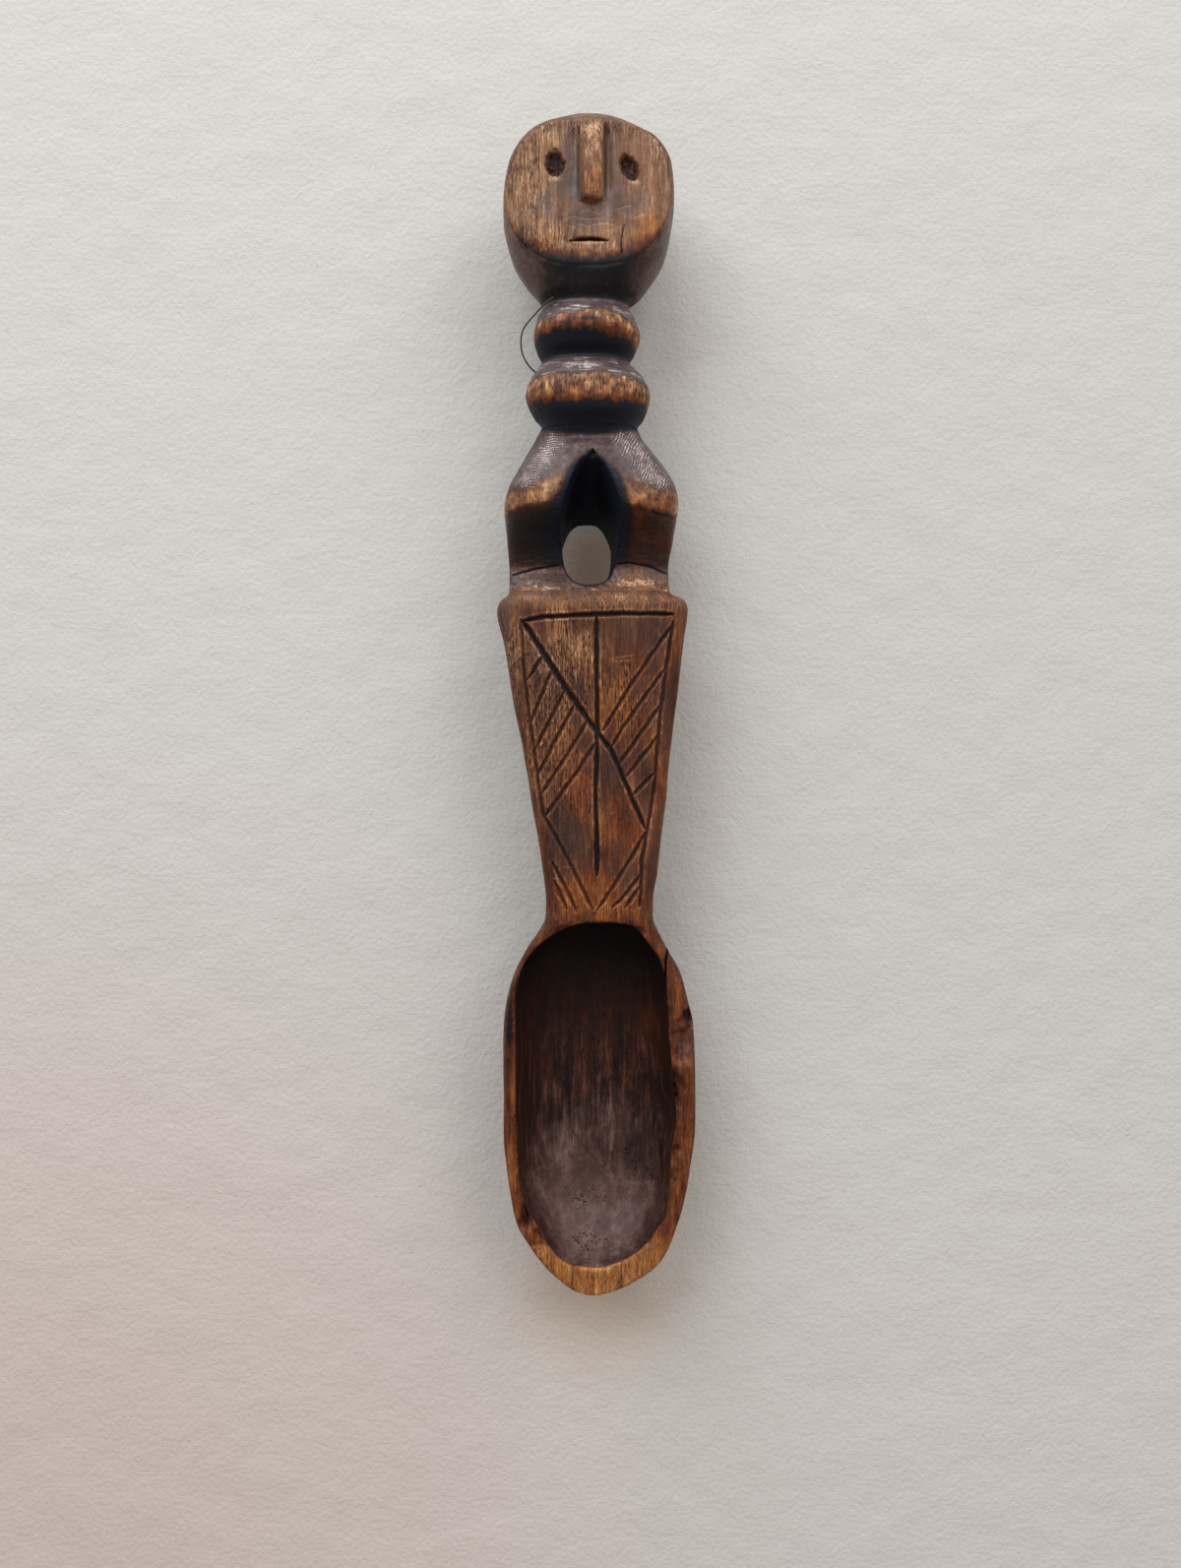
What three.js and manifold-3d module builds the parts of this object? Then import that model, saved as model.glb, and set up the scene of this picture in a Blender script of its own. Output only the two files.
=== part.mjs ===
// A wooden spoon carved from one billet: a round head with a flat cut face, two neck rings, a squatting
// figure with an arched opening between its legs, a flat handle panel with incised lines, and a deep bowl.
// A fine thread is caught round its neck. The carved members meet on flat planes across the wood's grain.
// Millimetres. +Y runs from the bowl's tip to the crown, +Z up from the surface that the spoon rests on.
import * as THREE from "three";
import { mergeVertices } from "three/addons/utils/BufferGeometryUtils.js";
import Module from "manifold-3d";

const wasm = await Module();
wasm.setup();

// Driving dimensions of the billet.
const crownY = 110;
const headNeckY = 73.8;
const neckRingsY = 63.2;
const neckFigureY = 50.4;
const figurePanelY = 20.2;
const panelBowlY = -40.2;
const tipY = -110;
const sidesAround = 32;
const ringCrowding = 1.6; // how much closer the rings lie toward a rounded end
const rings = { head: 20, upperNeck: 8, lowerNeck: 10, figure: 18, panel: 14, bowl: 26, hollow: 24 };
const farAway = 60; // reach of a cutter that clears the billet on all sides
const overrun = 5; // how far a cutter runs past the billet's ends
const weldDistance = 1e-4;

// Driving dimensions of the head.
const faceZ = 22;
const noseTopZ = 23.8;
const nose = { x: -0.8, lowY: 89.2, highY: 106, root: 1, footWidth: 4.8, topWidth: 3.8, tipSlope: 0.5 };
const eyes = [
  { x: -7.5, y: 96.4, width: 3.3, height: 4.7, tilt: 0.15 },
  { x: 5.9, y: 95.5, width: 3, height: 4.3, tilt: 0.6 },
];
const eyeDepth = 1.9;
const mouth = { points: [[-5, 82.6], [-1.4, 82.4], [2.3, 82.6]], width: 1.1, depth: 0.9 };
const noseLines = [
  [[-3.4, 104], [-3.3, 96], [-3.3, 88.8]],
  [[-3.6, 88.9], [-0.8, 88.6], [2.1, 88.9]],
  [[1.8, 103.6], [1.7, 96], [1.8, 88.8]],
];

// The opening between the figure's legs leans toward the head as it rises: a rounded slot behind, a
// pointed arch in front. archPower shapes the arch: 1 is two straight sides, 3 is nearly flat on top.
const opening = {
  back: { z: -2, x: -2.3, halfWidth: 4, lowY: 22.9, midY: 28.6, topY: 31.6, archPower: 4 },
  front: { z: 26, x: -0.7, halfWidth: 5.7, lowY: 21.2, midY: 34.2, topY: 47.4, archPower: 1.35 },
  lowCorner: 3,
};

// Incised lines of the panel, as knife strokes from end to end.
const deepCut = { width: 1.1, depth: 0.8 };
const fineCut = { width: 0.7, depth: 0.55 };
const deepStrokes = [
  [[-13.5, 14.6], [-9, 15.3], [6.2, 15.9], [13.9, 15.7]],
  [[0, 15.6], [0, 4.5], [0.2, -5.4], [-0.2, -17], [0, -24], [0.1, -32]],
  [[-13.5, 14.3], [-9.5, 8.6], [0.2, -4.8], [2.7, -9], [8.9, -23.4]],
  [[13.9, 13.9], [6.2, 2.8], [1.2, -5.4]],
];
const fineStrokes = [
  [[-13.8, 14.8], [-13.1, 4.5], [-11.9, -5.5], [-10.6, -15], [-9.5, -22]],
  [[13.9, 14.4], [12.7, 5.7], [11.5, -3], [10.4, -16.9], [8.3, -29], [7.9, -37.6]],
  [[-9.5, 8.6], [-12.9, 3.4]],
  [[-8.3, 4.6], [-12, -3.8]],
  [[-5.4, 1.2], [-11.5, -9.3]],
  [[-3.4, -1.6], [-7.2, -7.4], [-10.9, -13.8]],
  [[-1.3, -4.1], [-7.2, -12.7], [-10.1, -17]],
  [[0, -7.4], [-3.4, -12.7], [-9.5, -21.2]],
  [[12.7, 6.1], [4.8, -4.8], [2.7, -8.4]],
  [[11.4, -1.1], [4, -11.7]],
  [[12.2, -5.9], [9.8, -8.4], [5.4, -13.8]],
  [[10.4, -13.3], [6.4, -17.4]],
  [[-9.4, -21.2], [-4.5, -30.3], [-0.7, -38.1]],
  [[9, -24], [4.3, -32], [0.2, -38.1]],
  [[-8.1, -29.4], [-5.1, -35.2], [-3.6, -38.6]],
  [[-7.7, -32.9], [-5.4, -38.1]],
  [[7.9, -32], [4.3, -36.5], [2.9, -37.7]],
  [[7.9, -33.9], [5.2, -37.7]],
];

// The neck thread leaves the upper groove on the left, bows out and goes back in under the lower ring.
const threadDiameter = 0.3;
const threadSteps = 44;
const threadRoute = [
  [-7.9, 73.6, 18.6], [-9, 73.2, 17.8], [-10.3, 72.3, 16.9], [-12.1, 70.8, 15.7],
  [-13.1, 69.9, 15], [-13.8, 68.9, 14.2], [-14.1, 67.7, 13.3], [-14.1, 66.6, 12.3], [-13.8, 65.6, 11.2],
  [-13.1, 64.6, 10], [-12.1, 63.8, 8.7], [-10.9, 63.3, 7.5], [-9.3, 63.1, 6.4], [-7.4, 63.1, 5.8],
  [-5.2, 63.2, 5.5], [-3, 63.2, 5.4], [-0.8, 63.2, 5.4], [1.4, 63.2, 5.7], [3, 63.2, 6.2],
];

// The billet's templates, as [y, value]: its left and right edges seen from above, its front and back
// lines seen from the side, and the height at which each section is widest.
const billet = {
  left: [
    [-110, -1.9], [-109.2, -4.4], [-107.6, -6.7], [-105, -9.5], [-101.2, -12.4], [-97.5, -14.7],
    [-93, -15.9], [-87.5, -16.8], [-80, -17.4], [-68, -17.45], [-60, -17.35], [-54.8, -16.7],
    [-50, -15.4], [-46, -13.3], [-42.5, -11], [-40.2, -9.8], [-37, -9.6], [-30.5, -10.1],
    [-19.5, -12.1], [-8.5, -13.9], [2.5, -15.95], [10.8, -17.2], [16.5, -18.5], [18.2, -18.1],
    [20.2, -16.3], [24.8, -16.4], [30.2, -16.75], [35.8, -17.2], [39.5, -16.4], [43.1, -14.7],
    [46.8, -12.7], [49.6, -11.1], [51.3, -10.3], [53.5, -11.9], [57, -13.3], [60, -12.4],
    [62, -11.1], [63.4, -10.3], [65.2, -11.1], [68, -11.8], [71.2, -11.2], [73.9, -10.1],
    [75.4, -11.2], [78.6, -14], [83, -16.2], [87.5, -17.2], [91.5, -17.45], [97.4, -16.7],
    [101.8, -14.9], [104, -13.3], [106.2, -10.5], [108.2, -7], [109.5, -4.1], [110, -2.6],
  ],
  right: [
    [-110, 0.6], [-109.2, 3.6], [-107.6, 7.2], [-105, 11.1], [-101.2, 13.8], [-97.5, 15.1],
    [-93, 16.5], [-87.5, 17.6], [-80, 18.4], [-70, 18.5], [-60, 18.1], [-54.8, 17],
    [-50, 15.6], [-46, 13.4], [-42.5, 11.6], [-40.2, 10.7], [-37, 10.7], [-30.5, 11.5],
    [-19.5, 12.8], [-8.5, 13.9], [2.5, 15.2], [10.8, 16.1], [17, 16.9], [18.6, 16.3],
    [20.2, 13.6], [24.8, 13.5], [30.2, 14.4], [37, 15.3], [39.5, 14.9], [43.1, 13.1],
    [46.8, 10.5], [49.6, 8.4], [51.3, 7.8], [53.5, 9.2], [57, 10.1], [60, 9.2],
    [62, 7.3], [63.4, 6.3], [65.2, 7.3], [68, 8.3], [71.2, 7.3], [73.9, 6.2],
    [75.4, 8.2], [78.6, 10.6], [83, 12.9], [87.5, 14], [91.9, 14.5], [97.4, 14.2],
    [101.8, 12.7], [104, 10], [106.2, 7.3], [108.2, 4], [109.5, 1], [110, -0.4],
  ],
  front: [
    [-110, 15.6], [-96, 15.7], [-82, 16.3], [-70, 16.8], [-55, 17.6], [-40.2, 18.2], [-10, 18.8],
    [10, 19.3], [17, 19.5], [20.2, 18.6], [22, 16.8], [24.8, 15], [27.5, 15.8], [30.5, 18],
    [33.5, 21.8], [35.5, 23], [38, 23], [43, 21.8], [46.5, 20.3], [48.4, 18.8], [50.3, 19.8],
    [53, 22], [55.8, 22.5], [58.6, 22.2], [61.3, 20.7], [63.2, 19], [65.2, 20.7], [68, 22],
    [70.8, 21.2], [73.4, 19], [75.5, 20.3], [79.2, 22.3], [84, 25], [92, 26.5], [99, 25],
    [104.2, 22], [107, 18.9], [109, 16], [110, 14.2],
  ],
  back: [
    [-110, 13.2], [-109.2, 11.4], [-107.6, 9.4], [-105, 7.5], [-101, 5.2], [-96, 3.1], [-90, 1.4],
    [-82, -0.1], [-73, -0.6], [-65, -0.2], [-58, 1.1], [-50, 3.2], [-44, 5], [-40.2, 6.1],
    [-34, 6.9], [-10, 7.4], [14, 7.9], [20.2, 7.5], [25, 6.2], [31, 4.5], [37, 3.5], [43, 4.2],
    [48, 5.6], [50.6, 6.2], [53, 4.4], [57, 3.2], [60.5, 4.3], [63.2, 6.2], [65.5, 4.9], [68, 4.3],
    [71, 5.2], [73.6, 6.6], [76, 5], [80, 2.6], [86, 0.3], [92, -0.5], [97, -0.2], [102, 2.2],
    [106, 5.6], [108.5, 8.8], [109.5, 10.8], [110, 12],
  ],
  widest: [[-110, 14.8], [-96, 14], [-40, 13.5], [20, 13.8], [37, 12.5], [50, 13], [92, 13.3], [110, 13.1]],
  // How square each half of a section is: 2 is an ellipse, 8 is nearly a rectangle.
  frontCorner: [
    [-110, 6], [-41, 8], [18, 8], [20.2, 5], [24.8, 3], [37, 3.4], [44, 2.6], [49, 2.3],
    [73, 2.3], [76, 3], [92, 3.6], [104, 3], [110, 2.2],
  ],
  backCorner: [
    [-110, 2.2], [-70, 2.3], [-40, 2.6], [-20, 3], [14, 3.2], [24, 2.8], [37, 2.5], [49, 2.2], [110, 2.1],
  ],
};

// The bowl's hollow, as the same kind of templates. It runs out above the rim.
const hollow = {
  tipY: -104.8,
  topY: -40.7,
  left: [
    [-104.8, -2.5], [-104.4, -5.5], [-102.4, -7.8], [-99.8, -9.6], [-96.4, -11.5], [-92, -13.6],
    [-88.3, -14.2], [-76, -14.7], [-60, -14.8], [-51.8, -14.9], [-48.9, -13.6], [-45.3, -9.6],
    [-42.6, -6.4], [-41, -4.2], [-40.7, -2.6],
  ],
  right: [
    [-104.8, 2.4], [-103.4, 5.6], [-101.1, 8.7], [-97.4, 11.4], [-95, 12.9], [-91.4, 13.4],
    [-84, 13.8], [-77, 14.7], [-70, 14], [-60.9, 13.2],
    [-51.9, 12.7], [-48, 11.8], [-43.9, 9.1], [-41.6, 7.2], [-40.9, 5.4], [-40.7, 3.6],
  ],
  front: 21,
  back: [
    [-104.8, 15.1], [-103, 12.4], [-100, 9.2], [-95, 6.2], [-88, 4.4], [-80, 3.6], [-72, 3.4],
    [-62, 3.6], [-54, 4.6], [-48, 6.6], [-44, 9.6], [-41.8, 13], [-40.7, 16.2],
  ],
  widest: 18.6,
  frontCorner: 4,
  backCorner: 2.7,
};

// The value of a template at y, on a smooth curve that never swings past its own points.
function readTemplate(template, y) {
  if (typeof template === "number") return template;
  const last = template.length - 1;
  const found = template.findIndex((point) => point[0] > y);
  const i = found < 0 ? last - 1 : Math.max(found - 1, 0);
  const chord = (k) => (template[k + 1][1] - template[k][1]) / (template[k + 1][0] - template[k][0]);
  const slope = (k) => {
    if (k === 0) return chord(0);
    if (k === last) return chord(last - 1);
    const before = chord(k - 1);
    const after = chord(k);
    return before * after > 0 ? (2 * before * after) / (before + after) : 0;
  };
  const span = template[i + 1][0] - template[i][0];
  const t = (y - template[i][0]) / span;
  const rise = t * t * (3 - 2 * t);
  return (
    template[i][1] * (1 - rise) +
    template[i + 1][1] * rise +
    span * (slope(i) * t * (1 - t) * (1 - t) - slope(i + 1) * t * t * (1 - t))
  );
}

// A closed body from a unit cylinder: place turns each vertex's x, z and share of the way into its point.
// A cap's middle vertex has x and z of 0.
function reshapeCylinder(around, along, turnFrom, place) {
  const cylinder = new THREE.CylinderGeometry(1, 1, 1, around, along, false, turnFrom);
  cylinder.deleteAttribute("normal");
  cylinder.deleteAttribute("uv");
  const body = mergeVertices(cylinder, weldDistance);
  const position = body.attributes.position;
  for (let i = 0; i < position.count; i++) {
    const [x, y, z] = place(position.getX(i), position.getZ(i), position.getY(i) + 0.5);
    position.setXYZ(i, x, y, z);
  }
  return body;
}

// One stretch of a templated form. ringY turns a share of the way into the ring's y.
function loftTemplates(form, ringCount, ringY) {
  return reshapeCylinder(sidesAround, ringCount, 0, (unitX, unitZ, t) => {
    const y = ringY(t);
    const left = readTemplate(form.left, y);
    const right = readTemplate(form.right, y);
    const widest = readTemplate(form.widest, y);
    const isFront = unitZ >= 0;
    const edge = readTemplate(isFront ? form.front : form.back, y);
    const power = 2 / readTemplate(isFront ? form.frontCorner : form.backCorner, y);
    const x = (left + right) / 2 + (Math.sign(unitX) * Math.abs(unitX) ** power * (right - left)) / 2;
    const z = widest + Math.abs(unitZ) ** power * (edge - widest);
    return [x, y, z];
  });
}

const evenly = (from, to) => (t) => (t === 1 ? to : from + (to - from) * t);
const crowdedStart = (from, to) => (t) => (t === 1 ? to : from + (to - from) * t ** ringCrowding);
const crowdedEnd = (from, to) => (t) => (t === 0 ? from : to - (to - from) * (1 - t) ** ringCrowding);

function toSolid(geometry) {
  const plain = geometry.clone();
  for (const name of Object.keys(plain.attributes)) if (name !== "position") plain.deleteAttribute(name);
  const merged = mergeVertices(plain, weldDistance);
  return new wasm.Manifold(
    new wasm.Mesh({
      numProp: 3,
      vertProperties: new Float32Array(merged.attributes.position.array),
      triVerts: new Uint32Array(merged.index.array),
    }),
  );
}

function toGeometry(solid) {
  const mesh = solid.getMesh();
  const geometry = new THREE.BufferGeometry();
  geometry.setAttribute("position", new THREE.BufferAttribute(mesh.vertProperties, 3));
  geometry.setIndex(new THREE.BufferAttribute(mesh.triVerts, 1));
  return geometry;
}

function boxSolid(x0, x1, y0, y1, z0, z1) {
  const box = new THREE.BoxGeometry(x1 - x0, y1 - y0, z1 - z0);
  box.translate((x0 + x1) / 2, (y0 + y1) / 2, (z0 + z1) / 2);
  return toSolid(box);
}

// A knife's V cut along points on a surface whose height is surfaceZ(y). It starts above the surface by
// lift, and runs out at both ends to endShare of its width.
function knifeCut(points, width, depth, surfaceZ) {
  const lift = 0.5;
  const endShare = 0.35;
  const path = points.map(([x, y]) => new THREE.Vector2(x, y));
  const last = path.length - 1;
  const cut = reshapeCylinder(3, last, Math.PI, (unitX, unitZ, t) => {
    const i = Math.round(t * last);
    const ahead = path[Math.min(i + 1, last)].clone().sub(path[Math.max(i - 1, 0)]).normalize();
    const share = i === 0 || i === last ? endShare : 1;
    const halfWidth = (width / 2) * share + (width / 2 / depth) * lift;
    const side = (unitX / Math.sin(Math.PI / 3)) * halfWidth;
    const rise = unitZ > 0 ? (unitZ / Math.cos(Math.PI / 3)) * lift : unitZ * depth * share;
    return [path[i].x + ahead.y * side, path[i].y - ahead.x * side, surfaceZ(path[i].y) + rise];
  });
  return toSolid(cut);
}

const cutAll = (solid, cutters) => cutters.reduce((left, cutter) => left.subtract(cutter), solid);

// The surface that the spoon rests on, worn flat under the bowl and behind the head.
const underfoot = boxSolid(-farAway, farAway, tipY - overrun, crownY + overrun, -farAway, 0);

function makeHead() {
  const round = toSolid(loftTemplates(billet, rings.head, crowdedEnd(headNeckY, crownY)));
  const ridge = new THREE.BoxGeometry(2, 2, 2);
  const corners = ridge.attributes.position;
  for (let i = 0; i < corners.count; i++) {
    const isTop = corners.getZ(i) > 0;
    const width = isTop ? nose.topWidth : nose.footWidth;
    const lowY = isTop ? nose.lowY + nose.tipSlope : nose.lowY;
    const x = nose.x + (corners.getX(i) * width) / 2;
    const y = corners.getY(i) > 0 ? nose.highY : lowY;
    corners.setXYZ(i, x, y, isTop ? noseTopZ : faceZ - nose.root);
  }
  const slab = boxSolid(-farAway, farAway, headNeckY, crownY + overrun, faceZ, farAway);
  const faceCut = slab.subtract(toSolid(ridge));
  const sockets = eyes.map((eye) => {
    const socket = new THREE.SphereGeometry(0.5, 10, 8);
    socket.scale(eye.width, eye.height, eyeDepth * 2);
    socket.rotateZ(eye.tilt);
    socket.translate(eye.x, eye.y, faceZ);
    return toSolid(socket);
  });
  const mouthCut = knifeCut(mouth.points, mouth.width, mouth.depth, () => faceZ);
  const noseCuts = noseLines.map((line) => knifeCut(line, fineCut.width, fineCut.depth, () => faceZ));
  return cutAll(round, [faceCut, ...sockets, mouthCut, ...noseCuts, underfoot]);
}

function makeNeckRing(fromY, toY, ringCount) {
  return toSolid(loftTemplates(billet, ringCount, evenly(fromY, toY)));
}

function makeFigure() {
  const body = toSolid(loftTemplates(billet, rings.figure, evenly(figurePanelY, neckFigureY)));
  const { back, front, lowCorner } = opening;
  const arch = reshapeCylinder(20, 4, 0, (unitX, unitZ, t) => {
    const blend = (name) => back[name] + (front[name] - back[name]) * t;
    const isTop = unitZ < 0;
    const power = isTop ? 1 : 2 / lowCorner;
    const x = blend("x") + Math.sign(unitX) * Math.abs(unitX) ** power * blend("halfWidth");
    const reach = isTop ? 1 - Math.abs(unitX) ** blend("archPower") : Math.abs(unitZ) ** power;
    const fromMiddle = Math.hypot(unitX, unitZ) * reach;
    const y = blend("midY") + fromMiddle * (blend(isTop ? "topY" : "lowY") - blend("midY"));
    return [x, y, blend("z")];
  });
  return body.subtract(toSolid(arch));
}

function makePanel() {
  const panel = toSolid(loftTemplates(billet, rings.panel, crowdedEnd(panelBowlY, figurePanelY)));
  const panelZ = (y) => readTemplate(billet.front, y);
  const deep = deepStrokes.map((line) => knifeCut(line, deepCut.width, deepCut.depth, panelZ));
  const fine = fineStrokes.map((line) => knifeCut(line, fineCut.width, fineCut.depth, panelZ));
  return cutAll(panel, [...deep, ...fine]);
}

function makeBowl() {
  const boat = toSolid(loftTemplates(billet, rings.bowl, crowdedStart(tipY, panelBowlY)));
  const inside = toSolid(loftTemplates(hollow, rings.hollow, evenly(hollow.tipY, hollow.topY)));
  return cutAll(boat, [inside, underfoot]);
}

function makeThread() {
  const corners = [];
  for (let i = 0; i < 8; i++) {
    const turn = (i / 8) * 2 * Math.PI;
    const x = (Math.cos(turn) * threadDiameter) / 2;
    const y = (Math.sin(turn) * threadDiameter) / 2;
    corners.push(new THREE.Vector2(x, y));
  }
  const route = new THREE.CatmullRomCurve3(threadRoute.map((point) => new THREE.Vector3(...point)));
  const tube = { extrudePath: route, steps: threadSteps, bevelEnabled: false };
  return toSolid(new THREE.ExtrudeGeometry(new THREE.Shape(corners), tube));
}

const spoon = new THREE.Group();

function addPiece(name, solid, color, roughness) {
  const material = new THREE.MeshStandardMaterial({ color, roughness, metalness: 0 });
  const piece = new THREE.Mesh(toGeometry(solid), material);
  piece.name = name;
  spoon.add(piece);
}

addPiece("head", makeHead(), 0x88684f, 0.55);
addPiece("upper_neck_ring", makeNeckRing(neckRingsY, headNeckY, rings.upperNeck), 0x563524, 0.45);
addPiece("lower_neck_ring", makeNeckRing(neckFigureY, neckRingsY, rings.lowerNeck), 0x5f3f2c, 0.45);
addPiece("figure_body", makeFigure(), 0x4a2f22, 0.45);
addPiece("handle_panel", makePanel(), 0x6a432c, 0.55);
addPiece("bowl", makeBowl(), 0x4b2f24, 0.5);
addPiece("neck_thread", makeThread(), 0x1c1a1c, 0.8);

export default spoon;
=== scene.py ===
import itertools
import math

import bmesh
import bpy
import numpy as np
from mathutils import Matrix, Vector


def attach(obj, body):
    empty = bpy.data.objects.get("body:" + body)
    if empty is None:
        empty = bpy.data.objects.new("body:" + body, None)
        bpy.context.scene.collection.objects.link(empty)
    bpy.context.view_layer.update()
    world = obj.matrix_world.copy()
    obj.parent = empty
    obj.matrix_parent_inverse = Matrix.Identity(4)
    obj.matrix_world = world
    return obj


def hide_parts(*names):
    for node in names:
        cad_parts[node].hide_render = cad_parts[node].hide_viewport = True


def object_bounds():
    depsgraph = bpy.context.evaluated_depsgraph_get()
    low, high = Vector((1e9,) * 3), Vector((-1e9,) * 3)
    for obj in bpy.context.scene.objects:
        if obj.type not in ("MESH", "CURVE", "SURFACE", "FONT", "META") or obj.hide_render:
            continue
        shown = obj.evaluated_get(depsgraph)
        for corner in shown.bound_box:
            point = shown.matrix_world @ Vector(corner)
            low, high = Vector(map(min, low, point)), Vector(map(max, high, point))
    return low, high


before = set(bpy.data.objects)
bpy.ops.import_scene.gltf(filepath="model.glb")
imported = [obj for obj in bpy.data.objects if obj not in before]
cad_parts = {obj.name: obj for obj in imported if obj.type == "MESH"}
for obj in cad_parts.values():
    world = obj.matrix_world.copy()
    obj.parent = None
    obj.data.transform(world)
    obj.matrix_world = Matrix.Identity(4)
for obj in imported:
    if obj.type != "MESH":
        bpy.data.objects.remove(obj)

# An old wooden spoon carved from one billet, with a fine thread caught round its neck.
# Shapes are worked out in millimetres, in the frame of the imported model, and set to metres at the end.
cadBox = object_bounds()
mm = 0.001


# Camera: straight above the spoon, as near as a hand holds it. Its focal length is in the picture's pixels.

view = {
    "place": (-1.1, -15.15, 234), "focalPixels": 1200, "pictureHeight": 1593, "sensor": 36, "clipStart": 0.01,
}


def makeCamera():
    lens = bpy.data.cameras.new("camera")
    lens.sensor_width = view["sensor"]
    lens.lens = view["sensor"] * view["focalPixels"] / view["pictureHeight"]
    lens.clip_start = view["clipStart"]
    camera = bpy.data.objects.new("camera", lens)
    camera.location = Vector(view["place"]) * mm
    bpy.context.scene.collection.objects.link(camera)
    bpy.context.scene.camera = camera


# Shader helper: sockets that can be added, multiplied and so on

class Signal:
    def __init__(self, shader, socket):
        self.shader = shader
        self.socket = socket

    def __add__(self, other):
        return self.shader.maths("ADD", self, other)

    def __sub__(self, other):
        return self.shader.maths("SUBTRACT", self, other)

    def __rsub__(self, other):
        return self.shader.maths("SUBTRACT", other, self)

    def __mul__(self, other):
        return self.shader.maths("MULTIPLY", self, other)

    __radd__ = __add__
    __rmul__ = __mul__


class Shader:
    def __init__(self, name):
        self.material = bpy.data.materials.new(name)
        self.material.use_nodes = True
        self.tree = self.material.node_tree
        self.surface = self.tree.nodes["Principled BSDF"]

    def plug(self, socket, value):
        if isinstance(value, Signal):
            self.tree.links.new(value.socket, socket)
        else:
            socket.default_value = value

    def node(self, kind, settings=None, inputs=None, output=0):
        made = self.tree.nodes.new(kind)
        for name, value in (settings or {}).items():
            if name == "stops":
                setStops(made.color_ramp, value)
            else:
                setattr(made, name, value)
        for name, value in (inputs or {}).items():
            self.plug(made.inputs[name], value)
        return Signal(self, made.outputs[output])

    def maths(self, operation, *values):
        return self.node("ShaderNodeMath", {"operation": operation}, dict(enumerate(values)))

    def blend(self, factor, first, second, blendType="MIX"):
        settings = {"data_type": "RGBA", "blend_type": blendType, "clamp_factor": True}
        return self.node("ShaderNodeMix", settings, {0: factor, 6: first, 7: second}, 2)

    def fade(self, value, start, end):
        settings = {"interpolation_type": "SMOOTHSTEP"}
        return self.node("ShaderNodeMapRange", settings, {"Value": value, "From Min": start, "From Max": end})

    # A colour for each tone, from its stops
    def ramp(self, tone, stops):
        return self.node("ShaderNodeValToRGB", {"stops": stops}, {0: tone})

    def painted(self, name):
        return self.node("ShaderNodeAttribute", {"attribute_name": name}, output=2)

    # Where a point is on the piece
    def place(self):
        return self.node("ShaderNodeTexCoord", output=3)

    # Distance in mm from a place on the ground
    def distance(self, x, y):
        inputs = {0: self.place(), 1: (x * mm, y * mm, 0)}
        return self.node("ShaderNodeVectorMath", {"operation": "DISTANCE"}, inputs, 1) * (1 / mm)

    # Noise whose lumps have a size in mm along x, y and z, turned about z by an angle in degrees
    def noise(self, cell, detail=2, rough=0.5, distortion=0, turn=0):
        inputs = {"Vector": self.place(), "Scale": [size * mm for size in cell]}
        inputs["Rotation"] = (0, 0, math.radians(turn))
        place = self.node("ShaderNodeMapping", {"vector_type": "TEXTURE"}, inputs)
        inputs = {"Vector": place, "Scale": 1, "Detail": detail, "Roughness": rough, "Distortion": distortion}
        return self.node("ShaderNodeTexNoise", None, inputs)

    def finish(self, color, roughness, height, depth, coat=0, specular=0.5):
        bump = self.node("ShaderNodeBump", None, {"Height": height, "Distance": depth * mm, "Strength": 1})
        sockets = {
            "Base Color": color, "Roughness": roughness, "Normal": bump, "Coat Weight": coat,
            "Specular IOR Level": specular, "Coat Roughness": 0.32,
        }
        for name, value in sockets.items():
            self.plug(self.surface.inputs[name], value)
        return self.material


def setStops(ramp, stops):
    while len(ramp.elements) < len(stops):
        ramp.elements.new(0.5)
    for element, (position, color) in zip(ramp.elements, stops):
        element.position = position
        element.color = color


# A colour as it is picked on a screen, 0 to 255
def paint(red, green, blue):
    def linear(value):
        share = value / 255
        return share / 12.92 if share <= 0.04045 else ((share + 0.055) / 1.055) ** 2.4
    return (linear(red), linear(green), linear(blue), 1)


# A ramp's stops, each from its position and its colour
def tones(*stops):
    return [(position, paint(*color)) for position, *color in stops]


# Carving tools

# 0 at start, 1 at end, smooth between
def fade(value, start, end):
    t = np.clip((value - start) / (end - start), 0, 1)
    return t * t * (3 - 2 * t)


# 1 between low and high, fading out over soft at both ends
def stripe(value, low, high, soft):
    return fade(value, low - soft, low + soft) * (1 - fade(value, high - soft, high + soft))


# A repeatable number from 0 to 1 for each whole cell
def cellNumber(cells, seed):
    mixed = cells[..., 0] * 73856093 ^ cells[..., 1] * 19349663 ^ cells[..., 2] * 83492791 ^ seed * 2654435761
    mixed = (mixed ^ (mixed >> 13)) * 1274126177
    mixed = mixed ^ (mixed >> 16)
    return (mixed & 0xFFFF) / 65535


# Smooth noise from 0 to 1, whose lumps have a size in mm along x, y and z
def lumps(co, size, seed):
    scaled = co / np.array(size)
    base = np.floor(scaled).astype(np.int64)
    part = scaled - base
    part = part * part * (3 - 2 * part)
    total = np.zeros(len(co))
    for corner in itertools.product((0, 1), repeat=3):
        weight = np.where(corner, part, 1 - part).prod(axis=1)
        total += weight * cellNumber(base + corner, seed)
    return total


# The same noise from -0.5 to 0.5
def drift(co, size, seed):
    return lumps(co, size, seed) - 0.5


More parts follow.
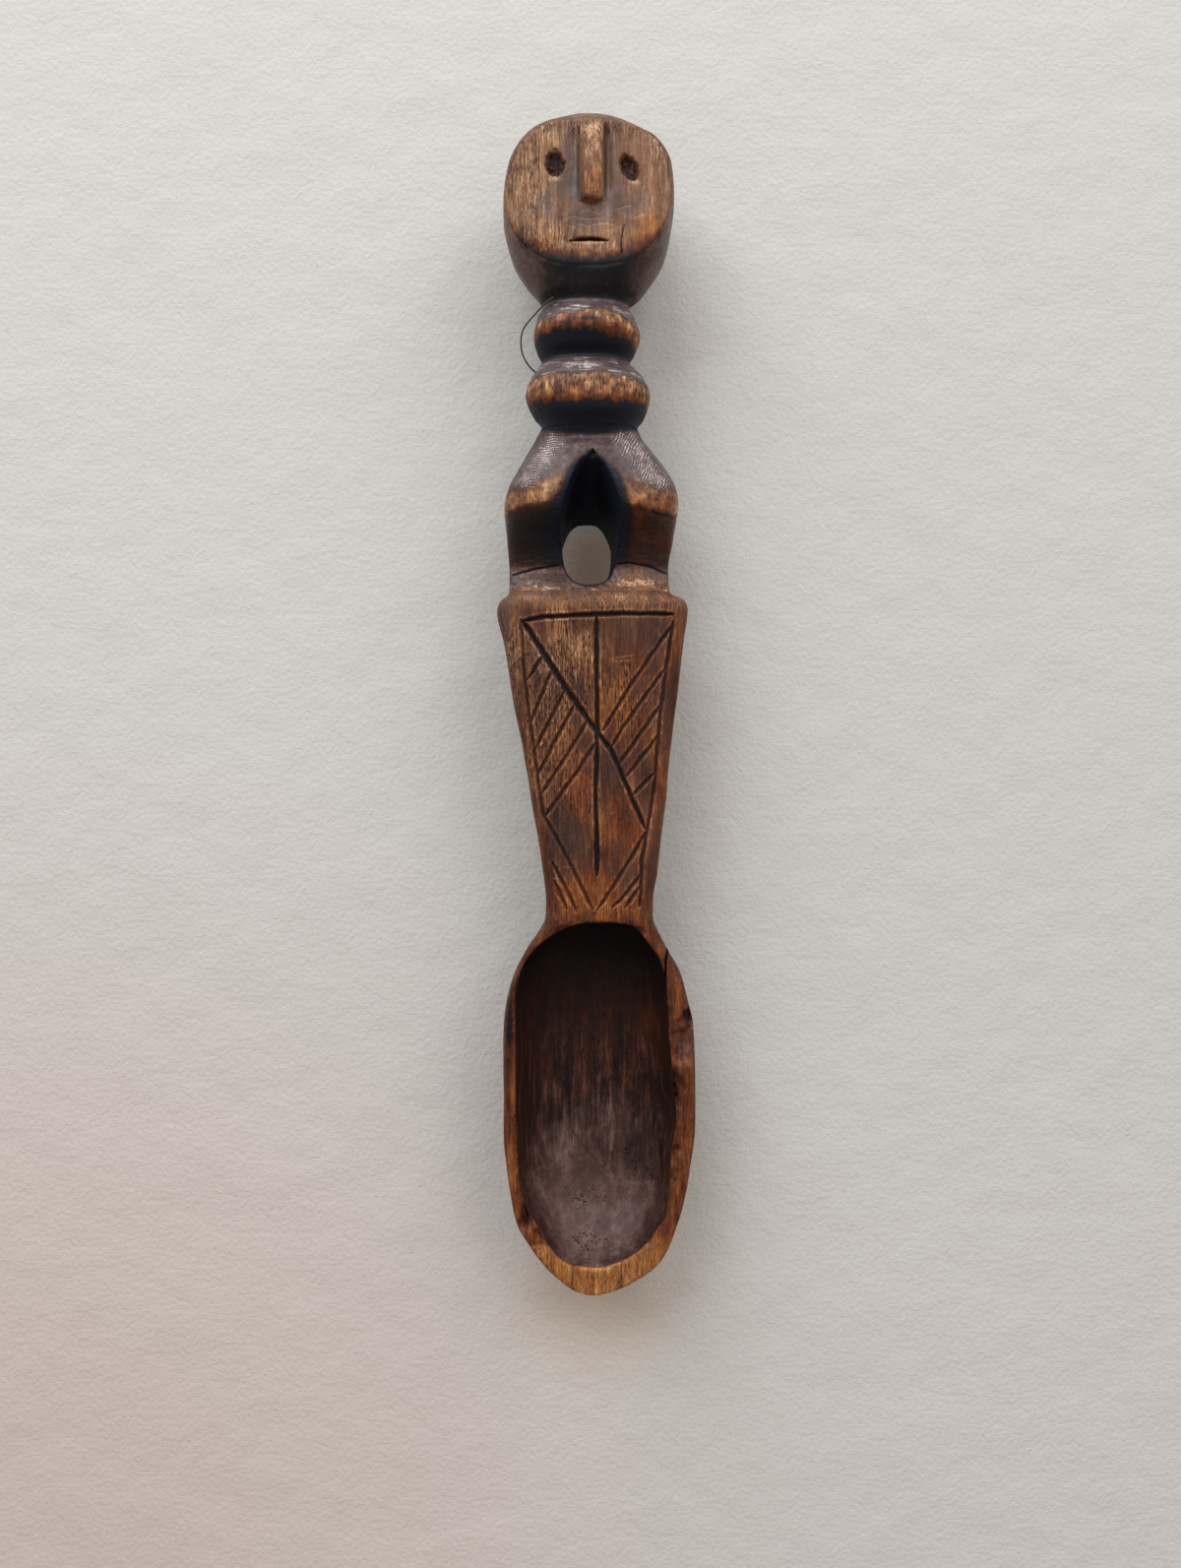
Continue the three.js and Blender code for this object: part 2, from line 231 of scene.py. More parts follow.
# Distance to the nearest of scattered points, one to each cell of a size in mm, and that point's number
def scatter(co, size, seed):
    scaled = co / np.array(size)
    base = np.floor(scaled).astype(np.int64)
    nearest = np.full(len(co), 9.0)
    number = np.zeros(len(co))
    for step in itertools.product((-1, 0, 1), repeat=3):
        home = base + step
        point = home + np.stack([cellNumber(home, seed + axis) for axis in range(3)], axis=1)
        distance = np.linalg.norm(scaled - point, axis=1)
        closer = distance < nearest
        nearest = np.where(closer, distance, nearest)
        number = np.where(closer, cellNumber(home, seed + 3), number)
    return nearest, number


# Small marks round scattered points: full up to start, gone at end, only where a point's number is over least
def specks(co, size, seed, start, end, least):
    near, number = scatter(co, size, seed)
    return (1 - fade(near, start, end)) * (number > least)


# Distance in plan to a knife stroke, and to the stroke's nearer end along it, both in mm
def strokeGap(co, points):
    gap = np.full(len(co), 1e3)
    reach = np.zeros(len(co))
    before = 0
    for start, end in zip(np.array(points, float), np.array(points[1:], float)):
        step = end - start
        length = np.hypot(*step)
        t = np.clip((co[:, :2] - start) @ step / length**2, 0, 1)
        here = np.hypot(*(co[:, :2] - start - t[:, None] * step).T)
        closer = here < gap
        gap = np.where(closer, here, gap)
        reach = np.where(closer, before + t * length, reach)
        before += length
    return gap, np.minimum(reach, before - reach)


# Thin marks along strokes, 1 on a stroke, fading toward its ends
def scratch(co, strokes, halfWidth):
    marks = np.zeros(len(co))
    for points in strokes:
        gap, toEnd = strokeGap(co, points)
        marks = np.maximum(marks, (1 - fade(gap, halfWidth * 0.4, halfWidth)) * fade(toEnd, -0.2, 0.8))
    return marks


# Masks painted on each mesh. The dirt and grey film masks also carry painted shade and painted sheen, and the
# pale one carries painted highlights
maskNames = ("rubbed", "soot", "haze", "rasped", "amber", "pale", "pitted")


# Soft round patches in plan, as x, y, half width, half height and strength, ragged along the grain.
# Returns one array for each mask.
def daub(co, spots):
    waver = 0.7 * drift(co, (1.8, 5, 1.8), 40) + 0.6 * drift(co, (0.5, 2.6, 0.5), 41)
    masks = {name: np.zeros(len(co)) for name in maskNames}
    for name, places in spots.items():
        for x, y, halfWidth, halfHeight, strength in places:
            far = np.hypot((co[:, 0] - x) / halfWidth, (co[:, 1] - y) / halfHeight) + waver
            masks[name] += strength * (1 - fade(far, 0.1, 1.4))
    return masks


# The value of a template at y, on a smooth curve that never swings past its own points
def readTemplate(template, y):
    if isinstance(template, (int, float)):
        return np.full(len(y), float(template))
    places, values = np.array(template, float).T
    y = np.clip(y, places[0], places[-1])
    chords = np.diff(values) / np.diff(places)
    product = chords[:-1] * chords[1:]
    inner = np.divide(2 * product, chords[:-1] + chords[1:], out=np.zeros_like(product), where=product > 0)
    slopes = np.concatenate(([chords[0]], inner, [chords[-1]]))
    i = np.clip(np.searchsorted(places, y, side="right") - 1, 0, len(places) - 2)
    span = places[i + 1] - places[i]
    t = (y - places[i]) / span
    rise = t * t * (3 - 2 * t)
    bend = span * (slopes[i] * t * (1 - t) ** 2 - slopes[i + 1] * t * t * (1 - t))
    return values[i] * (1 - rise) + values[i + 1] * rise + bend


# A mesh's vertices as arrays in mm while it is carved
class Carving:
    def __init__(self, thing):
        self.mesh = thing.data
        self.count = len(self.mesh.vertices)
        self.co = np.empty(self.count * 3)
        self.mesh.vertices.foreach_get("co", self.co)
        self.co = self.co.reshape(-1, 3)
        ends = np.empty(len(self.mesh.edges) * 2, np.int64)
        self.mesh.edges.foreach_get("vertices", ends)
        self.ends = ends.reshape(-1, 2).T
        self.degree = np.bincount(self.ends.ravel(), minlength=self.count)
        self.readNormals()

    def readNormals(self):
        normals = np.empty(self.count * 3)
        self.mesh.vertex_normals.foreach_get("vector", normals)
        self.normal = normals.reshape(-1, 3)

    # Where the vertices are before the next cuts, whole and as x, y and z
    def places(self):
        co = self.co.copy()
        return co, *co.T

    # Pushed in by depth in mm, along the surface's normal or another direction
    def press(self, depth, direction=None):
        way = self.normal if direction is None else np.array(direction, float)
        self.co = self.co - np.asarray(depth)[:, None] * way

    def blur(self, values, times):
        a, b = self.ends
        columns = values.reshape(self.count, -1).T.copy()
        for _ in range(times):
            for k, column in enumerate(columns):
                total = np.bincount(a, column[b], self.count) + np.bincount(b, column[a], self.count)
                columns[k] = 0.4 * column + 0.6 * total / self.degree
        return columns.T.reshape(values.shape)

    # How far the surface stands out from its surroundings, in mm
    def bulge(self, times):
        return ((self.co - self.blur(self.co, times)) * self.normal).sum(axis=1)

    # Edges are rubbed round where mask is 1
    def rubRound(self, times, mask):
        self.co += (self.blur(self.co, times) - self.co) * mask[:, None]

    def settle(self):
        self.mesh.vertices.foreach_set("co", self.co.ravel())
        self.mesh.update()
        self.readNormals()

    def paint(self, masks):
        for name, values in masks.items():
            layer = self.mesh.attributes.new(name, "FLOAT", "POINT")
            layer.data.foreach_set("value", np.clip(values, 0, 1).astype(np.float32))


# Workshop: turns a bmesh into an object, and applies modifiers to it

def toObject(bm, name):
    mesh = bpy.data.meshes.new(name)
    bm.to_mesh(mesh)
    bm.free()
    thing = bpy.data.objects.new(name, mesh)
    bpy.context.scene.collection.objects.link(thing)
    return thing


def applyModifier(thing, kind, settings):
    modifier = thing.modifiers.new(kind.lower(), kind)
    for name, value in settings.items():
        setattr(modifier, name, value)
    rough = thing.data
    graph = bpy.context.evaluated_depsgraph_get()
    thing.data = bpy.data.meshes.new_from_object(thing.evaluated_get(graph))
    thing.modifiers.clear()
    bpy.data.meshes.remove(rough)


# Adds another object to thing or takes it away, and uses it up
def combine(thing, other, operation):
    applyModifier(thing, "BOOLEAN", {"operation": operation, "solver": "EXACT", "object": other})
    bpy.data.objects.remove(other)


# An even mesh of small faces over thing, ready for the knife
def roughOut(thing, voxel, blurs=2):
    applyModifier(thing, "REMESH", {"mode": "VOXEL", "voxel_size": voxel})
    carving = Carving(thing)
    carving.co = carving.blur(carving.co, blurs)
    return carving


def moveVerts(bm, points):
    for vert, point in zip(bm.verts, points):
        vert.co = point


# The mesh gets twice as many vertices a side where chosen is true
def refine(thing, chosen):
    bm = bmesh.new()
    bm.from_mesh(thing.data)
    bm.verts.ensure_lookup_table()
    edges = [edge for edge in bm.edges if chosen[edge.verts[0].index] and chosen[edge.verts[1].index]]
    bmesh.ops.subdivide_edges(bm, edges=edges, cuts=1, use_grid_fill=True)
    bm.to_mesh(thing.data)
    bm.free()


# The billet before the knife: its templates, as y and value in mm. Left and right edges seen from above,
# front and back lines seen from the side, and the height at which each section is widest.
# A corner of 2 makes a section an ellipse, and 8 nearly a rectangle.
billet = {
    "left": [
        (-110, -1.9), (-109.2, -4.4), (-107.6, -6.7), (-105, -9.5), (-101.2, -12.4), (-97.5, -14.7),
        (-93, -15.9), (-87.5, -16.8), (-80, -17.4), (-68, -17.45), (-60, -17.35), (-54.8, -16.7),
        (-50, -15.4), (-46, -13.3), (-42.5, -11), (-40.2, -9.8), (-37, -9.6), (-30.5, -10.1),
        (-19.5, -12.1), (-8.5, -13.9), (2.5, -15.95), (10.8, -17.2), (16.5, -18.5), (18.2, -18.1),
        (20.2, -16.3), (24.8, -16.4), (30.2, -16.75), (35.8, -17.2), (39.5, -16.4), (43.1, -14.7),
        (46.8, -12.7), (49.6, -11.1), (51.3, -10.3), (53.5, -11.9), (57, -13.3), (60, -12.4), (62, -11.1),
        (63.4, -10.3), (65.2, -11.1), (68, -11.8), (71.2, -11.2), (73.9, -10.1), (75.4, -11.2), (78.6, -14),
        (83, -16.2), (87.5, -17.2), (91.5, -17.45), (97.4, -16.7), (101.8, -14.9), (104, -13.3),
        (106.2, -10.5), (108.2, -7), (109.5, -4.1), (110, -2.6),
    ],
    "right": [
        (-110, 0.6), (-109.2, 3.6), (-107.6, 7.2), (-105, 11.1), (-101.2, 13.8), (-97.5, 15.1), (-93, 16.5),
        (-87.5, 17.6), (-80, 18.4), (-70, 18.5), (-60, 18.1), (-54.8, 17), (-50, 15.6), (-46, 13.4),
        (-42.5, 11.6), (-40.2, 10.7), (-37, 10.7), (-30.5, 11.5), (-19.5, 12.8), (-8.5, 13.9), (2.5, 15.2),
        (10.8, 16.1), (17, 16.9), (18.6, 16.3), (20.2, 13.6), (24.8, 13.5), (30.2, 14.4), (37, 15.3),
        (39.5, 14.9), (43.1, 13.1), (46.8, 10.5), (49.6, 8.4), (51.3, 7.8), (53.5, 9.2), (57, 10.1),
        (60, 9.2), (62, 7.3), (63.4, 6.3), (65.2, 7.3), (68, 8.3), (71.2, 7.3), (73.9, 6.2), (75.4, 8.2),
        (78.6, 10.6), (83, 12.9), (87.5, 14), (91.9, 14.5), (97.4, 14.2), (101.8, 12.7), (104, 10),
        (106.2, 7.3), (108.2, 4), (109.5, 1), (110, -0.4),
    ],
    "front": [
        (-110, 15.6), (-96, 15.7), (-82, 16.3), (-70, 16.8), (-55, 17.6), (-40.2, 18.2), (-10, 18.8),
        (10, 19.3), (17, 19.5), (20.2, 18.6), (22, 16.8), (24.8, 15), (27.5, 15.8), (30.5, 18),
        (33.5, 21.8), (35.5, 23), (38, 23), (43, 21.8), (46.5, 20.3), (48.4, 18.8), (50.3, 19.8), (53, 22),
        (55.8, 22.5), (58.6, 22.2), (61.3, 20.7), (63.2, 19), (65.2, 20.7), (68, 22), (70.8, 21.2),
        (73.4, 19), (75.5, 20.3), (79.2, 22.3), (84, 25), (92, 26.5), (99, 25), (104.2, 22), (107, 18.9),
        (109, 16), (110, 14.2),
    ],
    "back": [
        (-110, 13.2), (-109.2, 11.4), (-107.6, 9.4), (-105, 7.5), (-101, 5.2), (-96, 3.1), (-90, 1.4),
        (-82, -0.1), (-73, -0.6), (-65, -0.2), (-58, 1.1), (-50, 3.2), (-44, 5), (-40.2, 6.1), (-34, 6.9),
        (-10, 7.4), (14, 7.9), (20.2, 7.5), (25, 6.2), (31, 4.5), (37, 3.5), (43, 4.2), (48, 5.6),
        (50.6, 6.2), (53, 4.4), (57, 3.2), (60.5, 4.3), (63.2, 6.2), (65.5, 4.9), (68, 4.3), (71, 5.2),
        (73.6, 6.6), (76, 5), (80, 2.6), (86, 0.3), (92, -0.5), (97, -0.2), (102, 2.2), (106, 5.6),
        (108.5, 8.8), (109.5, 10.8), (110, 12),
    ],
    "widest": [
        (-110, 14.8), (-96, 14), (-40, 13.5), (20, 13.8), (37, 12.5), (50, 13), (92, 13.3), (110, 13.1),
    ],
    "frontCorner": [
        (-110, 6), (-41, 8), (18, 8), (20.2, 5), (24.8, 3), (37, 3.4), (44, 2.6), (49, 2.3), (73, 2.3),
        (76, 3), (92, 3.6), (104, 3), (110, 2.2),
    ],
    "backCorner": [
        (-110, 2.2), (-70, 2.3), (-40, 2.6), (-20, 3), (14, 3.2), (24, 2.8), (37, 2.5), (49, 2.2),
        (110, 2.1),
    ],
}
crownY = 110
tipY = -110
seams = {"headNeck": 73.8, "neckRings": 63.2, "neckFigure": 50.4, "figurePanel": 20.2, "panelBowl": -40.2}


# A unit cylinder, cut into rings along its axis
def unitCylinder(sides, cuts):
    bm = bmesh.new()
    bmesh.ops.create_cone(bm, cap_ends=True, segments=sides, radius1=1, radius2=1, depth=1)
    lengthwise = [edge for edge in bm.edges if abs(edge.verts[0].co.z - edge.verts[1].co.z) > 0.5]
    bmesh.ops.subdivide_edges(bm, edges=lengthwise, cuts=cuts)
    return bm, np.array([vert.co for vert in bm.verts])


def reshape(bm, x, y, z):
    moveVerts(bm, np.stack([x, y, z], axis=1))
    bmesh.ops.recalc_face_normals(bm, faces=bm.faces)


# One stretch of a templated form, from a unit cylinder whose axis becomes y
def loftTemplates(form, fromY, toY, spacing=0.5, sides=128, crowdStart=1, crowdEnd=1):
    bm, unit = unitCylinder(sides, int((toY - fromY) / spacing))
    t = np.clip(unit[:, 2] + 0.5, 0, 1) ** crowdStart
    t = 1 - (1 - t) ** crowdEnd
    y = fromY + (toY - fromY) * t
    left, right, widest = (readTemplate(form[name], y) for name in ("left", "right", "widest"))
    isFront = unit[:, 1] >= 0
    edge = np.where(isFront, readTemplate(form["front"], y), readTemplate(form["back"], y))
    corner = np.where(isFront, readTemplate(form["frontCorner"], y), readTemplate(form["backCorner"], y))
    power = 2 / corner
    x = (left + right) / 2 + np.sign(unit[:, 0]) * np.abs(unit[:, 0]) ** power * (right - left) / 2
    reshape(bm, x, y, widest + np.abs(unit[:, 1]) ** power * (edge - widest))
    return bm


# Cuts a bmesh off flat on the side that direction points to, and closes it
def sliceOff(bm, place, direction, sharp=True):
    whole = bm.verts[:] + bm.edges[:] + bm.faces[:]
    settings = {"dist": 1e-5, "plane_co": place, "plane_no": direction, "clear_outer": True}
    cut = bmesh.ops.bisect_plane(bm, geom=whole, **settings)
    rim = [piece for piece in cut["geom_cut"] if isinstance(piece, bmesh.types.BMEdge)]
    bmesh.ops.holes_fill(bm, edges=rim, sides=0)
    if sharp:
        for edge in rim:
            edge.smooth = False


# Trims a carved member to its seams, sets it to metres and hands it to the frame
def finishMember(thing, node, kind, fromY, toY):
    bm = bmesh.new()
    bm.from_mesh(thing.data)
    for face in bm.faces:
        face.smooth = True
    for place, direction in ((fromY, -1), (toY, 1)):
        if tipY < place < crownY:
            sliceOff(bm, (0, place, 0), (0, direction, 0))
    bm.to_mesh(thing.data)
    bm.free()
    thing.data.transform(Matrix.Scale(mm, 4))
    thing.data.materials.clear()
    thing.data.materials.append(wood[kind]["material"])
    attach(thing, "root")
    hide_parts(node)
    print(thing.name, len(thing.data.polygons), "faces")


# Marks that the knife left all over the wood: shallow scoops on the back and sides, and a slow waviness

handWork = {
    "scoop": (6, 10, 5), "scoopDepth": 0.28, "wave": (9, 14, 9), "waveDepth": 0.15,
    "grain": (0.5, 8, 0.5), "wideGrain": (1.05, 16.8, 1.05), "grainDepth": 0.07,
}


def carveByHand(carving, scoopMask, grainMask):
    co = carving.co
    near, _ = scatter(co, handWork["scoop"], 3)
    grain = 0.6 * lumps(co, handWork["grain"], 7) + 0.4 * lumps(co, handWork["wideGrain"], 8)
    depth = handWork["scoopDepth"] * (1 - fade(near, 0, 0.9)) * scoopMask
    depth += handWork["waveDepth"] * lumps(co, handWork["wave"], 5) * (0.3 + 0.7 * scoopMask)
    depth += handWork["grainDepth"] * grain * grainMask
    carving.press(depth)


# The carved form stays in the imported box, which leaves worn flats under the bowl and behind the head
def wearFlat(carving):
    low, high = Vector(cadBox[0]) / mm, Vector(cadBox[1]) / mm
    carving.co = np.clip(carving.co, low, high)
    carving.settle()


print("making the camera and the thread")
makeCamera()


# Thread: caught in the grooves of the neck, it bows out on the left

thread = {
    "diameter": 0.3,
    "length": 33.2,
    "route": [
        (-7.9, 73.6, 18.6), (-9, 73.2, 17.8), (-10.3, 72.3, 16.9), (-12.1, 70.8, 15.7), (-13.1, 69.9, 15),
        (-13.8, 68.9, 14.2), (-14.1, 67.7, 13.3), (-14.1, 66.6, 12.3), (-13.8, 65.6, 11.2),
        (-13.1, 64.6, 10), (-12.1, 63.8, 8.7), (-10.9, 63.3, 7.5), (-9.3, 63.1, 6.4), (-7.4, 63.1, 5.8),
        (-5.2, 63.2, 5.5), (-3, 63.2, 5.4), (-0.8, 63.2, 5.4), (1.4, 63.2, 5.7), (3, 63.2, 6.2),
    ],
    "color": paint(62, 55, 52),
    "worn": paint(92, 82, 76),
}


def makeThread():
    curve = bpy.data.curves.new("caughtThread", "CURVE")
    curve.dimensions = "3D"
    curve.bevel_depth = thread["diameter"] / 2 * mm
    curve.bevel_resolution = 3
    curve.resolution_u = 8
    curve.use_fill_caps = True
    spline = curve.splines.new("BEZIER")
    spline.bezier_points.add(len(thread["route"]) - 1)
    for point, place in zip(spline.bezier_points, thread["route"]):
        point.co = Vector(place) * mm
        point.handle_left_type = point.handle_right_type = "AUTO"
    piece = bpy.data.objects.new("caughtThread", curve)
    bpy.context.scene.collection.objects.link(piece)
    shader = Shader("twistedThread")
    ply = shader.noise((0.25, 0.25, 0.25))
    color = shader.blend(ply, thread["color"], thread["worn"])
    curve.materials.append(shader.finish(color, 0.6 + ply * 0.3, ply, 0.03))
    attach(piece, "root")
    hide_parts("neck_thread")
    thread["length"] * mm
    thread["diameter"] * mm


makeThread()


# Wood: one old hardwood under four finishes. Each mesh carries painted masks: rubbed is how light wear has
# made it, soot and shade how far dirt has filled it together with painted shade on undersides, in recesses
# and at the handle end of the bowl, haze and sheen how much grey handling polish lies on it together with a
# painted sheen on slopes that face the window, rasped where fine crossed tool lines are left, amber how
# orange it is, pale where it is nicked and where painted highlights and glints lie, and pitted how open its
# grain is.

def makeWood(name, look):
    shader = Shader(name)
    rubbed, soot, haze, rasped, amber, pale, pitted = (shader.painted(mask) for mask in maskNames)
    grain = shader.noise((0.27, 9, 0.27), detail=3, rough=0.65, distortion=0.1) - 0.5
    hair = shader.noise((0.12, 2.6, 0.12), rough=0.6) - 0.5
    dash = shader.noise((0.18, 1, 0.18), detail=1) - 0.5
    broad = shader.noise((1.9, 16, 1.9), rough=0.55, distortion=0.3) - 0.5
    mottle = shader.noise((1.8, 2.6, 1.8), detail=4, rough=0.65) - 0.5
    crumb = shader.noise((0.24, 0.24, 0.24), rough=0.6) - 0.5
    fibre = (grain * 1.2 + hair * 1.1) * (pitted * 0.8 + 0.45) * look["streaks"]
    cloud = broad * 0.4 + mottle * 0.45 + crumb * 0.25
    pores = shader.fade(dash + pitted * 0.1, 0.12, 0.23) * pitted
    # How far dirt and painted shade darken the wood, and how far grey film and painted sheen cover it
    darkened = shader.fade(soot + mottle * 0.35 + crumb * 0.25, 0.05, 1)
    filmAndSheenShare = shader.fade(haze + (mottle + grain) * 0.6, 0.05, 0.95)
    orange = shader.fade(amber + broad * 0.9 + mottle * 0.4, 0.05, 0.95)

    undarkened = 1 - darkened
    # Pale nicks, painted highlights and painted glints lift the tone
    nickAndGlint = (crumb * 0.8 + 0.4) * pale
    tone = (rubbed + (fibre + cloud) * (rubbed * 1.4 + 0.15) - pores * look["pores"]) * undarkened + nickAndGlint
    plainWood = shader.ramp(tone, [look["darkestSootAndShade"], *plainTones])
    orangeWood = shader.ramp(tone, [look["darkestSootAndShade"], *orangeTones])
    filmAndSheenColor = shader.ramp((fibre * 0.7 + cloud + look["filmAndSheenTone"]) * undarkened + nickAndGlint, look["filmAndSheenColor"])
    color = shader.blend(filmAndSheenShare * 0.88, shader.blend(orange, plainWood, orangeWood), filmAndSheenColor)

    crossA = shader.fade(shader.noise((0.2, 2.4, 2.4), detail=0, turn=36), 0.35, 0.65)
    crossB = shader.fade(shader.noise((0.2, 2.4, 2.4), detail=0, turn=-50), 0.35, 0.65)
    roughness = look["roughness"] - filmAndSheenShare * 0.12 + pores * 0.15 + darkened * 0.1 + crumb * 0.18
    height = grain * 0.6 + hair * 0.3 - pores * 0.6 + crumb * 0.3 + (crossA + crossB) * rasped * 0.9
    coat = filmAndSheenShare * undarkened * look["polish"]
    return shader.finish(color, roughness, height, look["relief"], coat=coat, specular=look["specular"])


# The darkest tones are the colour of full dirt and of painted shade; their blue tint, stronger in the worn
# dark wood, is painted shade
darkestSootAndShade, blueShadeDark = tones((0, 7, 10, 22), (0, 9, 17, 34))
plainTones = tones(
    (0.1, 24, 17, 17), (0.2, 46, 27, 21), (0.42, 86, 53, 37), (0.62, 122, 87, 63), (0.82, 164, 124, 92),
    (1, 208, 172, 140),
)
orangeTones = tones(
    (0.1, 28, 17, 15), (0.2, 56, 26, 16), (0.42, 107, 54, 27), (0.62, 146, 88, 42), (0.82, 182, 122, 62),
    (1, 216, 164, 100),
)
wood = {
    "face": {
        "slot": "face_wood", "darkestSootAndShade": darkestSootAndShade, "filmAndSheenTone": 0.57, "streaks": 0.76, "pores": 0.22,
        "filmAndSheenColor": tones((0, 11, 12, 18), (0.3, 56, 42, 40), (0.6, 100, 78, 72), (1, 164, 142, 132)),
        "roughness": 0.6, "relief": 0.07, "polish": 0.12, "specular": 0.3,
    },
    # The worn dark wood's film runs up to near white, for painted glints on the shoulders and the rings'
    # upper slopes
    "wornDark": {
        "slot": "worn_dark_wood", "darkestSootAndShade": blueShadeDark, "filmAndSheenTone": 0.5, "streaks": 0.48, "pores": 0.28,
        "filmAndSheenColor": [blueShadeDark, *tones((0.3, 50, 37, 38), (0.6, 96, 80, 81), (1, 226, 216, 212))],
        "roughness": 0.52, "relief": 0.08, "polish": 0.25, "specular": 0.28,
    },
    "panel": {
        "slot": "panel_wood", "darkestSootAndShade": darkestSootAndShade, "filmAndSheenTone": 0.48, "streaks": 0.9, "pores": 0.38,
        "filmAndSheenColor": tones((0, 11, 10, 15), (0.3, 50, 32, 29), (0.6, 86, 64, 59), (1, 158, 136, 126)),
        "roughness": 0.54, "relief": 0.08, "polish": 0.12, "specular": 0.25,
    },
    "bowl": {
        "slot": "bowl_wood", "darkestSootAndShade": darkestSootAndShade, "filmAndSheenTone": 0.6, "streaks": 0.5, "pores": 0.16,
        "filmAndSheenColor": tones((0, 10, 9, 14), (0.3, 46, 29, 27), (0.6, 90, 64, 58), (1, 146, 124, 118)),
        "roughness": 0.6, "relief": 0.06, "polish": 0.04, "specular": 0.2,
    },
}
for name, look in wood.items():
    look["material"] = makeWood(name + "Wood", look)


# Head: round, with a flat cut face, a ridge of a nose, two picked-out eyes and a slit of a mouth

